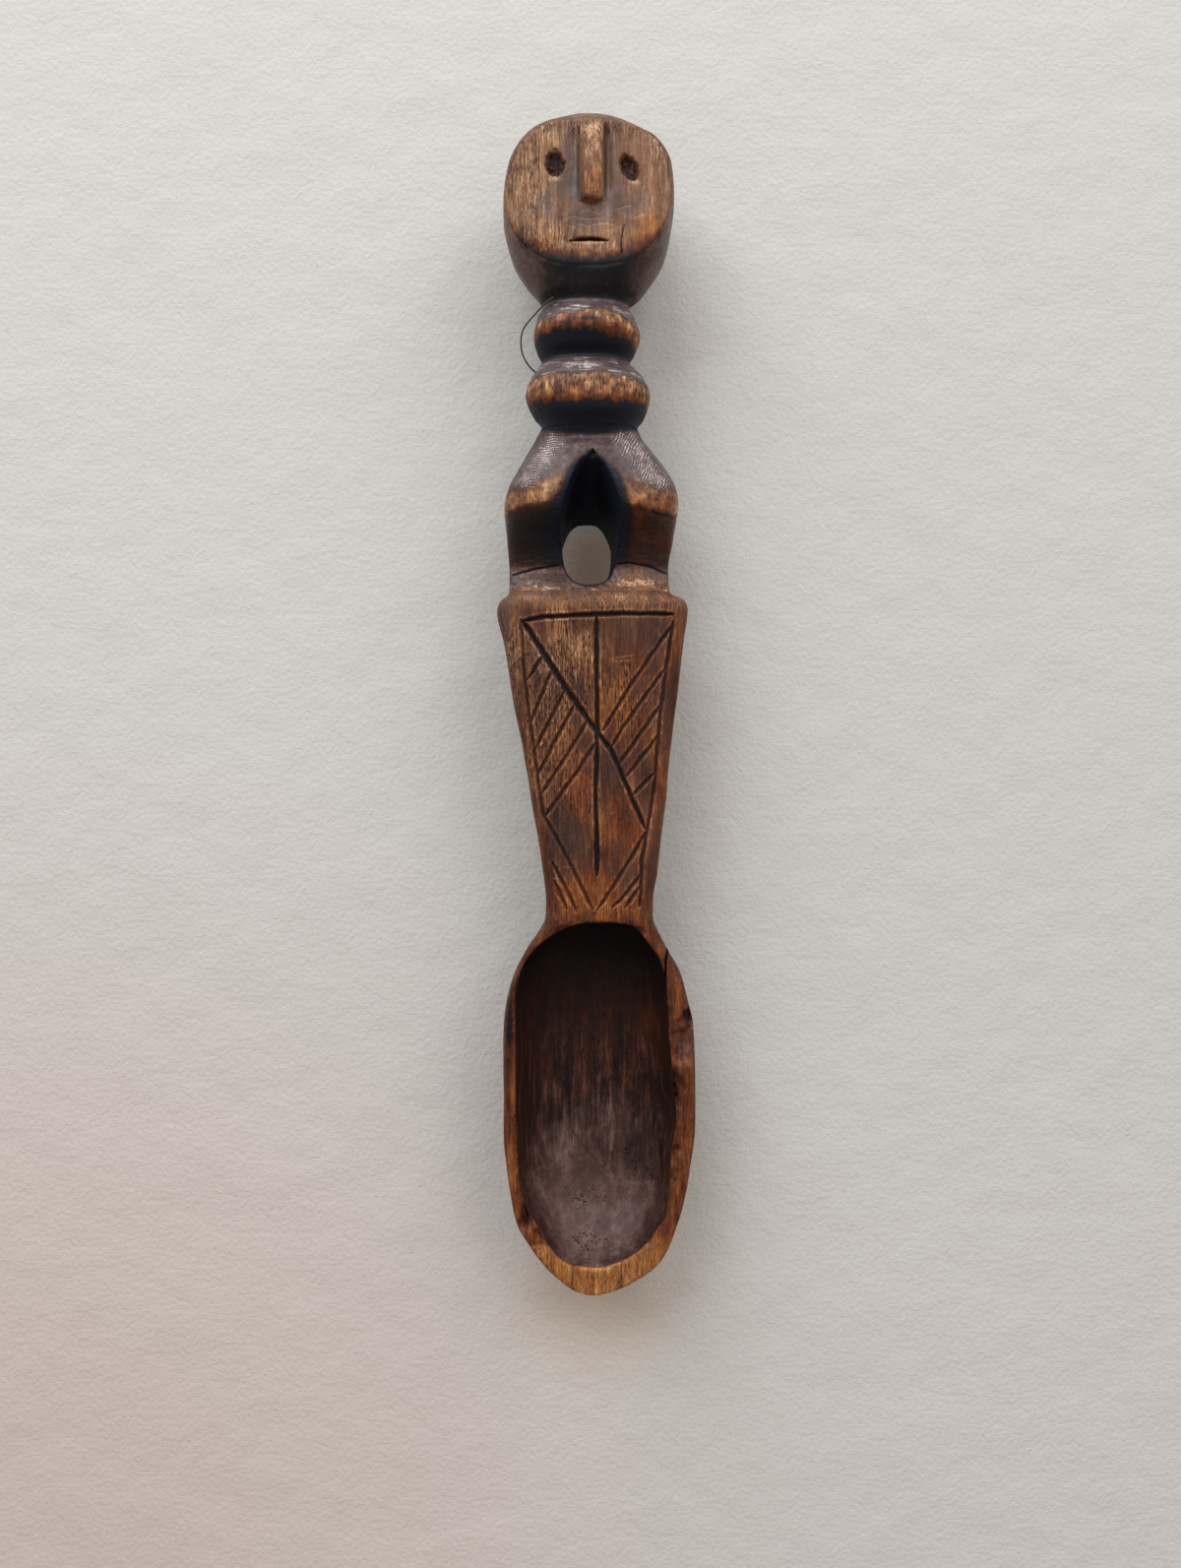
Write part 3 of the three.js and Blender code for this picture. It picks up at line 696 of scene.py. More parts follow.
head = {
    "voxel": 0.28,
    "spare": 2.5,  # it is carved this far past its seam, and then trimmed
    "faceZ": 22,
    "nose": {
        "left": [(89.5, -2.7), (90.1, -3), (92, -3), (98, -2.75), (104.3, -2.4)],
        "right": [(89.5, 1), (90.1, 1.2), (92, 1.25), (98, 1.15), (104.3, 1)],
        "front": [
            (89.5, 23.2), (89.9, 23.6), (91.2, 23.8), (95, 23.7), (98, 23.4), (101.5, 22.9), (104.3, 21.7),
        ],
        "back": 18, "widest": 21.5, "frontCorner": 2.6, "backCorner": 4,
    },
    "noseMiddle": -0.85,
    "noseReach": 3.2,
    "eyes": [
        {"x": -7.5, "y": 96.4, "halfWidth": 1.95, "halfHeight": 2.5, "turn": 0.05, "narrow": 0.35},
        {"x": 5.85, "y": 95.6, "halfWidth": 1.6, "halfHeight": 2.5, "turn": 0.5, "narrow": 0.1},
    ],
    "eyeDepth": 1.2,
    "mouth": {
        "points": [(-4.8, 82.45), (-3, 82.75), (-1, 82.85), (0.6, 82.7), (2, 82.5)],
        "halfWidth": 0.46, "depth": 0.8,
    },
    # A painted highlight along the lower lip
    "lipHighlight": [[(-4.4, 82.15), (-1, 82.05), (1.8, 82.2)]],
    "cuts": [
        {"points": [(-4.2, 103), (-4.2, 96), (-4.8, 90.5)], "halfWidth": 2, "depth": 0.6},
        {"points": [(2.2, 104), (2.1, 98), (2.1, 91)], "halfWidth": 1.1, "depth": 0.65},
        {"points": [(-3.3, 89.4), (-0.9, 89.2), (1.5, 89.4)], "halfWidth": 0.4, "depth": 0.2},
    ],
    # Painted shade lines down both sides of the nose
    "noseLines": [[(-3.2, 103.6), (-3.35, 96), (-3.45, 89.6)], [(1.5, 104), (1.65, 97), (1.65, 89.6)]],
    # Where the worn face ends and the dark jaw begins, as x and y
    "chin": [
        (-17, 87.5), (-15.2, 85.4), (-12.9, 83.6), (-11, 82.3), (-5.3, 80.5), (0.3, 80), (4.4, 81),
        (8.6, 83), (11.8, 85.8), (14.1, 90),
    ],
    "crack": [[(5.1, 85.6), (4.6, 83.7), (4.4, 81.9), (4.6, 79.9)]],
    "scratches": [
        [(-4.6, 87), (-2.2, 86.4), (0.8, 86.6)], [(-2.6, 88.2), (-0.6, 87.6), (0.6, 88.4)],
        [(-1.2, 85.3), (1.6, 85.7), (3.4, 85.2)], [(6.2, 86.3), (9.2, 87.6)], [(0.6, 101.2), (-1.8, 98.4)],
        [(-6, 86.2), (-4.4, 86.9)], [(-3.4, 85.6), (-0.6, 84.9)], [(3, 88), (6.4, 88.9)],
        [(-1.6, 92.4), (0.4, 91.6)], [(-1.8, 90.6), (0.2, 90.9)],
        [(-3, 87.6), (-1.4, 88.2), (0.4, 87.3), (1.6, 88.2)], [(-5.6, 85.4), (-3.6, 84.8)],
        [(1.2, 84.2), (3.4, 84.6)],
    ],
    "patches": {
        "haze": [
            (-4.8, 97, 2, 8, 0.65), (-5.4, 91.2, 4.8, 3.6, 0.75), (-0.8, 86.8, 6.8, 3, 0.75),
            (2.9, 95, 1.6, 8, 0.65), (5, 90, 4.5, 3.6, 0.4), (9, 88.5, 4.5, 3, 0.25),
            (-10.5, 87.5, 3, 2.4, 0.3), (10, 100, 4, 2.4, 0.3),
        ],
        "rubbed": [
            (-0.9, 81.4, 9.5, 1.9, 0.1), (-8.5, 84, 4, 3, 0.08), (-12.5, 94, 4, 9, 0.05),
            (-7, 100.6, 4, 2, 0.08), (-5.2, 93, 2.2, 5, -0.12), (-0.9, 87, 4, 1.6, -0.1),
            (-0.8, 101, 1.8, 3, 0.12),
        ],
        "amber": [
            (-0.9, 80.6, 9, 2, 0.15), (9.6, 84.4, 3.6, 3.8, 0.55), (-0.9, 92.5, 2, 4.2, 0.65),
            (-10.5, 82.6, 4, 2.4, 0.3),
        ],
        "pitted": [
            (-12, 93, 4.6, 13, 0.8), (-1, 102.6, 14, 2.2, 0.8), (11.5, 100.5, 4, 5, 0.9),
            (-8, 82.4, 6, 3.2, 0.6), (-0.9, 95, 2.4, 9, 0.6), (11, 90, 3, 6, 0.35), (1, 81.2, 6, 2, 0.3),
            (-4.2, 100, 1.4, 4, 0.5),
        ],
        "pale": [
            (10.5, 100.2, 3.2, 2.2, 0.6), (-9.5, 101.5, 4, 1.4, 0.2), (-7.6, 93.6, 1.5, 0.55, 0.6),
            (7, 93, 1.3, 0.5, 0.5), (-0.8, 102.6, 1.8, 1.2, 0.3), (-5.4, 90.5, 0.6, 0.4, 0.3),
            (-9.6, 87, 0.6, 6, 0.4), (-6.4, 84, 0.4, 3, 0.25),
        ],
        "soot": [
            (1.9, 103.2, 0.6, 1.2, 0.25), (-13.4, 84.8, 0.9, 1, 0.45), (-11.6, 82.4, 1.2, 0.7, 0.35),
            (-6.2, 86.6, 0.5, 0.5, 0.3), (-9, 88, 0.5, 4, 0.18), (-6.8, 86, 0.4, 4, 0.2),
        ],
    },
}


def eyeReach(co, eye):
    x, y = co[:, 0] - eye["x"], co[:, 1] - eye["y"]
    across = x * math.cos(eye["turn"]) + y * math.sin(eye["turn"])
    upright = y * math.cos(eye["turn"]) - x * math.sin(eye["turn"])
    width = eye["halfWidth"] * (1 - eye["narrow"] * np.clip(upright / eye["halfHeight"], 0, 1))
    return np.hypot(across / width, upright / eye["halfHeight"]) + 0.3 * drift(co, (0.5, 0.5, 9), 21)


def makeHead():
    faceZ, nose = head["faceZ"], head["nose"]
    bm = loftTemplates(billet, seams["headNeck"] - head["spare"], crownY, crowdEnd=1.6)
    sliceOff(bm, (0, 0, faceZ), (0, 0, 1), sharp=False)
    thing = toObject(bm, "carvedHead")
    ridge = loftTemplates(nose, nose["left"][0][0], nose["left"][-1][0], spacing=0.25, sides=64)
    combine(thing, toObject(ridge, "noseRidge"), "UNION")
    carving = roughOut(thing, head["voxel"])
    awayFromNose = np.abs(carving.co[:, 0] - head["noseMiddle"]) > 4.5
    edge = fade(carving.bulge(30), 0.1, 0.45)
    carving.rubRound(6, edge * 0.9)
    carving.rubRound(22, edge * np.maximum(awayFromNose, carving.co[:, 1] < 86) * 0.8)
    carving.settle()
    x, y, z = carving.co.T
    refine(thing, (z > faceZ - 0.9) & (y > 76) & (carving.normal[:, 2] > 0.2))

    carving = Carving(thing)
    co, x, y, z = carving.places()
    nearNose = np.abs(x - head["noseMiddle"]) < head["noseReach"]
    facet = fade(z, faceZ - 0.55, faceZ - 0.15) * fade(carving.normal[:, 2], 0.55, 0.9)
    facet = np.maximum(facet, nearNose * stripe(y, 88, 104, 0.5) * fade(z, faceZ - 0.4, faceZ))
    around = carving.blur(facet, 60)
    onNose = nearNose * fade(z, faceZ + 0.25, faceZ + 0.7)
    carveByHand(carving, 1 - facet, 0.5 + 0.5 * facet)
    grooves = np.zeros(carving.count)
    for cut in head["cuts"]:
        gap, toEnd = strokeGap(co, cut["points"])
        grooves += cut["depth"] * (1 - fade(gap, 0, cut["halfWidth"])) * fade(toEnd, -1.5, 2.5)
    grooves *= 1 - onNose
    eyes = np.zeros(carving.count)
    for eye in head["eyes"]:
        eyes = np.maximum(eyes, 1 - fade(eyeReach(co, eye), 0.7, 1.1))
    crumbs = 0.6 * lumps(co, (0.55, 0.7, 9), 22) + 0.4 * lumps(co, (0.27, 0.3, 9), 23)
    mouth = head["mouth"]
    gap, toEnd = strokeGap(co, mouth["points"])
    lips = 1 - fade(gap, 0.15, mouth["halfWidth"] * (0.35 + 0.65 * fade(toEnd, 0, 2.2)))
    split = scratch(co, head["crack"], 0.15)
    scratches = scratch(co, head["scratches"], 0.2)
    flaw = specks(co, (0.4, 1.3, 0.4), 25, 0.1, 0.42, 0.75)
    masks = daub(co, head["patches"])
    down = grooves + 0.45 * fade(np.abs(x + 1.5), 7, 14.5) ** 2 + 0.3 * fade(-y, -84, -79.5)
    down += head["eyeDepth"] * eyes * (0.5 + 0.9 * crumbs) + mouth["depth"] * lips + 0.3 * split
    down += 0.06 * scratches + 0.12 * flaw * np.clip(masks["pitted"], 0, 1)
    down += 0.05 * lumps(co, (1.2, 1, 9), 27) + 0.05 * lumps(co, (0.3, 3, 9), 28)
    carving.press(down * facet, (0, 0, 1))
    wearFlat(carving)

    low = fade(-y, -91, -84)
    front = fade(z, 6, 16)
    outside = 1 - facet
    past = outside * fade(around, 0.04, 0.5)
    inner = facet * fade(1 - around, 0.06, 0.42)
    tattered = 0.5 * drift(co, (0.9, 0.9, 9), 54) + 0.3 * drift(co, (0.35, 0.8, 9), 55)
    fromChin = y + 2.2 * tattered - readTemplate(head["chin"], x)
    aboveChin = fade(fromChin / (1 + 6 * (1 - fade(z, 13, 21))), -1.4, 1.2)
    belowChin = 1 - aboveChin
    chin = stripe(fromChin, -1.4, 0.3, 1.1) * fade(z, 16, 20)
    fromMiddle = np.abs(x + 0.9) + 3 * drift(co, (2.2, 3, 2.2), 29)
    # Painted shade under the chin, darkest in the middle of the jaw and fading toward its sides
    jawShade = belowChin * front * (1 - fade(fromMiddle, 2.5, 12.5))
    groove = 1 - fade(y, seams["headNeck"] + 0.3, seams["headNeck"] + 1.4)
    noseLine = scratch(co, head["noseLines"], 0.5)
    lipHighlight = scratch(co, head["lipHighlight"], 0.25)
    for name in ("rubbed", "haze", "amber", "soot", "pale"):
        masks[name] *= facet
    masks["rubbed"] *= aboveChin
    masks["rubbed"] += aboveChin * (0.63 * facet + outside * (0.5 + 0.12 * past)) + 0.22 * belowChin
    masks["rubbed"] += 0.06 * chin - 0.12 * grooves * facet
    masks["rubbed"] += onNose * (0.01 + 0.3 * drift(co, (0.7, 1.1, 9), 57))
    masks["amber"] += 0.04 + 0.15 * inner * low + 0.35 * chin + 0.1 * past * (1 - low)
    masks["haze"] *= 1 - onNose
    # Grey film with a painted sheen on the back and sides of the head, stronger on the sides of the jaw
    masks["haze"] += outside * (1 - past) * (0.35 + 0.5 * belowChin)
    masks["soot"] += eyes * (0.42 + 0.5 * crumbs) + lips + 0.6 * split + 0.8 * groove
    # Painted shade over the jaw and below the chin
    masks["soot"] += jawShade * 0.95 * (1 - 0.5 * chin) + 0.12 * belowChin * front * (1 - chin)
    # Dirt in the open grain, and the painted shade lines beside the nose
    masks["soot"] += (0.35 * flaw * masks["pitted"] + 0.45 * noseLine) * facet
    # Pale scratches, the painted highlight on the lower lip and painted glints in the eye pits
    masks["pale"] += (0.3 * scratches + 0.4 * lipHighlight + 0.9 * eyes * fade(crumbs, 0.56, 0.72)) * facet
    masks["pale"] += 0.3 * outside * fade(lumps(co, (0.5, 0.9, 0.5), 30), 0.6, 0.85)
    masks["pale"] += 0.35 * chin * fade(lumps(co, (0.5, 0.6, 9), 56), 0.62, 0.8)
    masks["pitted"] += 0.2
    masks["rasped"] = 0.45 * outside
    carving.paint(masks)
    finishMember(thing, "head", "face", seams["headNeck"], crownY)


# Neck rings: two rounded rings, worn tan along their ridges, dark in the grooves, with painted shade on their
# undersides and a painted sheen and painted highlights on their upper slopes.
# The worn band's upper and lower borders are templates too, as x and y.

rings = {
    "upper": {
        "name": "upperRing", "node": "upper_neck_ring", "from": "neckRings", "to": "headNeck",
        "dashes": 0.4,
        "high": [
            (-10.5, 69), (-9.4, 69.6), (-5.7, 69.6), (-2, 70.2), (0.5, 70.6), (3, 70.3), (5.6, 69.4),
            (8, 68.3),
        ],
        "low": [
            (-10.5, 67.6), (-9.6, 67.9), (-7.1, 68.2), (-3.2, 68), (-0.7, 67.6), (1.5, 67.2), (4.3, 67),
            (8, 66),
        ],
        "patches": {
            "amber": [(-6, 69.2, 5, 1.6, 0.5), (4.5, 68, 3, 2, 0.1)],
            "soot": [(-1.6, 68.6, 3.4, 0.5, 0.6), (2.6, 67.9, 2.6, 0.4, 0.4), (-6.5, 68.2, 2, 0.4, 0.3)],
            "rubbed": [(1, 70, 3.2, 0.7, 0.08), (-1.5, 68.2, 9, 1.4, -0.14)],
            # Painted highlights on the upper slope
            "pale": [(-3, 71.3, 2.2, 0.35, 0.4), (-6.4, 71, 1.2, 0.3, 0.25)],
        },
    },
    "lower": {
        "name": "lowerRing", "node": "lower_neck_ring", "from": "neckFigure", "to": "neckRings",
        "dashes": 0.9,
        "high": [
            (-12.6, 58.2), (-11.2, 58.9), (-8.3, 59.3), (-4.5, 58.7), (0.5, 58.9), (4.2, 58.5), (9.2, 58.2),
        ],
        "low": [(-12.6, 56), (-11.8, 55.6), (-8.3, 55.3), (-4.5, 54.9), (-0.7, 54.9), (3, 55), (9.2, 55.6)],
        "patches": {
            # Painted highlights on the upper slope
            "pale": [
                (-3.6, 60.7, 3.4, 0.8, 0.5), (-1.4, 59.8, 2.4, 0.5, 0.35), (4.6, 59.4, 2.6, 0.3, 0.3),
                (-8.6, 59.4, 1.8, 0.3, 0.25),
            ],
            "amber": [(3, 54.6, 7, 0.9, 0.4)],
            "soot": [
                (-5.5, 58.6, 1.4, 0.7, 0.25), (1.5, 58.8, 1.4, 0.5, 0.25), (-2.5, 57.4, 0.7, 1.2, 0.2),
            ],
        },
    },
}
ringLook = {"voxel": 0.15, "spare": 0.8, "spacing": 0.25}


def makeRing(ring):
    fromY, toY = seams[ring["from"]], seams[ring["to"]]
    spare, spacing = ringLook["spare"], ringLook["spacing"]
    thing = toObject(loftTemplates(billet, fromY - spare, toY + spare, spacing), ring["name"])
    carving = roughOut(thing, ringLook["voxel"], blurs=3)
    carving.settle()
    co, x, y, z = carving.places()
    ragged = y + 0.9 * drift(co, (1.8, 30, 1.8), 31) + 0.8 * drift(co, (0.6, 0.6, 0.6), 32)
    high, low = readTemplate(ring["high"], x), readTemplate(ring["low"], x)
    band = fade(ragged, low - 1.7, low + 0.8) * (1 - fade(ragged, high - 0.4, high + 0.35))
    above = fade(ragged - high, -0.2, 0.5)
    below = fade(low - ragged, -0.5, 2)
    groove = 1 - fade(y, fromY + 0.15, fromY + 1.2) * (1 - fade(y, toY - 0.9, toY - 0.1))
    front = fade(z, 5, 15)
    carveByHand(carving, 0.3, 0.4 + 0.6 * band)
    pits = specks(co, (0.36, 1.5, 0.36), 33, 0.12, 0.5, 0.45) * band * ring["dashes"]
    ticks = lumps(co, (0.5, 1.5, 0.5), 34)
    filing = lumps(co, (1.8, 0.28, 1.8), 35)
    carving.press(0.15 * pits + 0.16 * filing * above * (1 - groove) + 0.05 * filing * below)
    wearFlat(carving)

    masks = daub(co, ring["patches"])
    for name in masks:
        masks[name] *= front
    under = np.clip(below * (1 - below) * 4, 0, 1)
    blotch = drift(co, (1.5, 0.8, 1.5), 36)
    masks["rubbed"] += 0.2 + 0.06 * under - 0.25 * pits
    masks["rubbed"] += band * (0.2 + 0.22 * front + 0.35 * blotch + 0.5 * (ticks - 0.5))
    masks["amber"] += 0.45 + 0.3 * under - 0.35 * stripe(ragged - high, -0.9, 0.3, 0.4)
    # Grey film with a painted sheen on the upper slope, which faces the window, and on the sides
    masks["haze"] += above * (1 - 0.5 * groove) * 0.95 + 0.55 * (1 - front) * (1 - 0.5 * band)
    # Dirt in the grooves; painted shade below the band, darkest at the front, and between the filing ridges
    masks["soot"] += groove * 0.75 + below * (0.3 + 0.75 * front) * (1 - 0.45 * under) + 0.5 * pits
    masks["soot"] += 0.3 * above * front * fade(-filing, -0.4, -0.2)
    masks["pitted"] += band * (0.2 + 0.4 * ring["dashes"])
    # Painted highlights on the filing ridges of the upper slope, and pale ticks in the band
    masks["pale"] += 0.5 * above * front * fade(filing, 0.58, 0.85) * (1 - groove)
    masks["pale"] += 0.12 * band * fade(ticks, 0.6, 0.9)
    masks["rasped"] += 0.4 * above
    carving.paint(masks)
    finishMember(thing, ring["node"], "wornDark", fromY, toY)


# Figure: squatting, with its arms on its knees and an arched opening between its legs

figure = {
    "voxel": 0.28,
    "spare": 1,
    # The opening leans toward the head as it rises: a rounded slot behind, a pointed arch in front
    "back": {"z": -2, "x": -2.3, "halfWidth": 4, "lowY": 22.9, "midY": 28.6, "topY": 31.6, "archPower": 4},
    "front": {
        "z": 26, "x": -0.7, "halfWidth": 5.7, "lowY": 21.2, "midY": 34.2, "topY": 47.4, "archPower": 1.2,
    },
    "lowCorner": 3,
    "notch": {"points": [(-0.8, 44.2), (-0.7, 45.4)], "halfWidth": 0.7, "depth": 0.9},
    # The worn band across the knees, between its upper and lower borders, as x and y
    "kneeHigh": [
        (-17, 37.4), (-13, 38), (-9, 39), (-6, 40.2), (-1, 41), (5, 38.9), (8, 38.2), (13, 38),
        (16.5, 37.5),
    ],
    "kneeLow": [
        (-17, 34.4), (-13, 34.8), (-9, 35.5), (-6.5, 36.8), (-1, 38), (4.5, 35.6), (8, 34.7), (13, 34.1),
        (16.5, 34),
    ],
    "shoulders": [
        {"points": [(-7.8, 47.2), (-12.9, 39.8)], "halfWidth": 2.4},
        {"points": [(5.6, 47.6), (11.4, 39.6)], "halfWidth": 3.3},
    ],
    "weavePitch": 0.58,
    "footLines": [
        [(-16.2, 23.6), (-14.1, 24.2), (-11.3, 24.8), (-6.6, 25.4)],
        [(3.6, 25.5), (6, 25.8), (10, 25.2), (13.4, 23.9)],
    ],
    "kneeLine": [[(9.6, 33.9), (12.2, 33.5), (14.6, 33.3)]],
    "ledge": [
        (-17, 20.7), (-15.7, 21), (-11.2, 21.5), (-9.4, 20.6), (-4.9, 20.4), (-1, 20.8), (2, 21.4),
        (3.6, 22.4), (8.6, 22.5), (12.6, 21.1), (16, 20.6),
    ],
    "patches": {
        "rubbed": [
            (8.5, 23, 5, 1.8, 0.2), (-8.2, 39.4, 3, 2.2, 0.16), (5.6, 40, 2.4, 2, 0.14),
            (6.5, 33, 2, 2.2, 0.12), (12, 30, 2, 3, 0.04),
        ],
        "amber": [
            (-12, 36, 5, 2.5, 0.25), (11, 35.4, 5, 2, 0.4), (6.2, 33.6, 2.4, 2.4, 0.5), (8, 31, 6, 5, 0.35),
            (-6, 41, 3, 3, 0.2), (5, 42, 3, 3, 0.2), (-1, 47, 6, 2, -0.3),
        ],
        # Those on the shoulders and chest are painted sheen
        "haze": [
            (8.5, 23, 5, 1.8, -0.35), (-12.5, 42, 2.5, 5, 0.3), (12.5, 42, 2.5, 5, 0.3),
            (-6, 43, 3.5, 3.5, 0.2), (6, 44, 4, 4, 0.3), (-1, 47, 6, 2, 0.4),
        ],
        # Painted highlights on the shoulders, and pale chips along the ledge and a foot line
        "pale": [
            (-12.6, 40.2, 1.6, 1.4, 0.4), (-10.2, 43.6, 1.2, 2.6, 0.35), (11.3, 39.8, 2.4, 1.2, 0.35),
            (6.8, 45.4, 2, 2.2, 0.3), (-0.3, 43.9, 0.5, 0.7, 0.5), (-10.5, 21.2, 4, 0.5, 0.35),
            (8.5, 22.2, 4.5, 0.8, 0.45), (3.8, 26, 1.6, 0.3, 0.3), (-1.4, 20.8, 4.5, 0.35, 0.3),
        ],
        "soot": [(-10, 30, 4.5, 4, 0.25), (3.6, 41, 1.6, 3, 0.2), (-4.2, 42, 1.4, 3, 0.2)],
        "pitted": [(8.5, 23, 5, 1.8, 0.5)],
    },
}


# The arch between back and front at heights from 0 to 1
def archBetween(share):
    back, front = figure["back"], figure["front"]
    return {name: back[name] + (front[name] - back[name]) * share for name in back}


def makeArch():
    bm, unit = unitCylinder(96, 24)
    here = archBetween(np.clip(unit[:, 2] + 0.5, 0, 1))
    across, up = unit[:, 0], unit[:, 1]
    isTop = up > 0
    power = np.where(isTop, 1, 2 / figure["lowCorner"])
    x = here["x"] + np.sign(across) * np.abs(across) ** power * here["halfWidth"]
    reach = np.where(isTop, 1 - np.abs(across) ** here["archPower"], np.abs(up) ** power)
    goal = np.where(isTop, here["topY"], here["lowY"])
    reshape(bm, x, here["midY"] + reach * (goal - here["midY"]), here["z"])
    return toObject(bm, "archCutter")


# How far places are outside the arch in plan, in mm
def archGap(co):
    x, y, z = co.T
    back, front = figure["back"], figure["front"]
    here = archBetween(np.clip((z - back["z"]) / (front["z"] - back["z"]), 0, 1))
    rise = np.clip((y - here["midY"]) / (here["topY"] - here["midY"]), 0, 1)
    drop = np.clip((here["midY"] - y) / (here["midY"] - here["lowY"]), 0, 1)
    corner = figure["lowCorner"]
    width = here["halfWidth"] * (1 - rise) ** (1 / here["archPower"]) * (1 - drop**corner) ** (1 / corner)
    beyond = np.maximum(y - here["topY"], 0) + np.maximum(here["lowY"] - y, 0)
    return np.hypot(np.maximum(np.abs(x - here["x"]) - width, 0), beyond)


# Crossed fine tool lines on the shoulders: where they are, and the lines themselves
def weaveShoulders(carving, co, ragged, front):
    shoulder = np.zeros(carving.count)
    weave = np.zeros(carving.count)
    for place in figure["shoulders"]:
        gap, _ = strokeGap(co, place["points"])
        here = (1 - fade(gap + ragged, place["halfWidth"] * 0.4, place["halfWidth"] * 1.4)) * front
        run = np.subtract(*np.array(place["points"])[::-1])
        along = co[:, :2] @ run / np.hypot(*run)
        across = co[:, :2] @ np.array([-run[1], run[0]]) / np.hypot(*run)
        for slant, weight, seed in ((0.6, 1, 47), (-1.1, 0.55, 54)):
            wobble = 1.4 * lumps(co, (1.3, 1.3, 30), seed)
            lines = np.sin(2 * np.pi * ((along + slant * across) / figure["weavePitch"] + wobble))
            weave += lines * here * weight * 1.5 * lumps(co, (0.6, 0.6, 30), seed + 1)
        shoulder = np.maximum(shoulder, here)
    return shoulder, weave


def makeFigure():
    fromY, toY, spare = seams["figurePanel"], seams["neckFigure"], figure["spare"]
    thing = toObject(loftTemplates(billet, fromY - spare, toY + spare, spacing=0.35), "squattingFigure")
    combine(thing, makeArch(), "DIFFERENCE")
    carving = roughOut(thing, figure["voxel"])
    x, y, z = carving.co.T
    edge = fade(carving.bulge(30), 0.06, 0.3)
    archEdge = (z > 12) * (y > 28) * (1 - fade(archGap(carving.co), 1.2, 2.8))
    archEdge *= fade(carving.normal[:, 2], -0.3, 0.1)
    carving.rubRound(8, edge * 0.75)
    carving.rubRound(50, archEdge * 0.8)
    carving.settle()
    refine(thing, (carving.normal[:, 2] > 0.25) & (z > 13) & ((y > 34) | (y < 27)))

    carving = Carving(thing)
    co, x, y, z = carving.places()
    fromMiddle = np.abs(x + 0.8)
    front = fade(carving.normal[:, 2], 0.1, 0.5) * fade(z, 11, 14)
    archWall = (1 - fade(np.abs(x + 1), 5.2, 7.2)) * fade(-carving.normal[:, 2], -0.75, -0.35)
    ragged = 0.9 * drift(co, (1.3, 2.2, 30), 41) + 0.7 * drift(co, (0.4, 0.9, 30), 42)
    shade = 1 - fade(archGap(co) + 0.5 * ragged, 0.2, 3.4 - 1.8 * fade(y, 38, 44))
    shade *= (z > 11) * fade(y, 24, 27)
    high, low = readTemplate(figure["kneeHigh"], x), readTemplate(figure["kneeLow"], x)
    knee = fade(y + ragged, low - 0.6, low + 0.6) * (1 - fade(y + ragged, high - 1, high + 1.3))
    knee *= fade(z, 12, 17) * (1 - archWall)
    shoulder, weave = weaveShoulders(carving, co, ragged, front)
    ledgeY = readTemplate(figure["ledge"], x)
    ledge = (1 - fade(y + 0.9 * ragged, ledgeY - 0.3, ledgeY + 0.5)) * front
    foot = scratch(co, figure["footLines"], 0.24) * front
    footLipHighlight = scratch(co - (0, -0.45, 0), figure["footLines"], 0.3) * front
    kneeLine = scratch(co, figure["kneeLine"], 0.3) * front
    pits = specks(co, (0.4, 1, 0.4), 43, 0.12, 0.45, 0.55) * knee
    carveByHand(carving, 0.5 * (1 - knee), 0.4 + 0.6 * knee)
    chew = (1 - fade(np.abs(y - ledgeY), 0.4, 1.6)) * front
    notch = figure["notch"]
    gap, _ = strokeGap(co, notch["points"])
    split = (1 - fade(gap, 0.1, notch["halfWidth"] * (0.35 + 0.65 * fade(-y, -45.8, -44)))) * front
    down = 0.28 * foot + 0.15 * kneeLine + 0.1 * pits + 0.06 * weave + notch["depth"] * split
    down += chew * (0.6 * lumps(co, (0.9, 0.5, 0.9), 44) + 0.2 * lumps(co, (0.4, 0.9, 0.4), 48))
    down += 0.08 * lumps(co, (0.5, 0.5, 0.5), 45) * front
    down += 0.1 * lumps(co, (2.2, 0.4, 2.2), 49) * (1 - knee) * front
    carving.press(down)
    wearFlat(carving)

    bulge = carving.bulge(60)
    hollow = fade(-bulge, 0.02, 0.3)
    chest = fade(y, 38.5, 40) * front
    leg = stripe(y, 25.6, 34.2, 0.8) * (1 - knee) * front
    slope = fade(y, ledgeY - 0.3, ledgeY + 0.5) * (1 - fade(y, 24.4, 25.9)) * front
    grooveY = 48.5 + 0.9 * np.clip(np.abs(x + 1.3) / 7, 0, 1.4) ** 2 + 0.3 * ragged
    groove = fade(y, grooveY - 0.4, grooveY + 0.5)
    side = (1 - front) * fade(fromMiddle, 9, 11)
    toPanel = 1 - fade(y, fromY, fromY + 5)
    fibres = drift(co, (2.6, 0.35, 2.6), 50)
    blotch = 0.35 * drift(co, (1.2, 1.4, 1.2), 51) + 0.2 * drift(co, (0.5, 0.5, 0.5), 72)
    masks = daub(co, figure["patches"])
    for name in masks:
        masks[name] *= front
    masks["rubbed"] += 0.2 + knee * (0.42 + blotch) + 0.36 * ledge + 0.06 * chest + 0.2 * slope + 0.16 * side
    masks["rubbed"] += 0.1 * fade(bulge, 0.03, 0.3) * (1 - shade) - 0.15 * pits
    masks["rubbed"] += leg * (0.02 * fade(x, -3, 6) + 0.12 * fibres)
    masks["amber"] += 0.15 + 0.45 * leg + 0.35 * side * toPanel
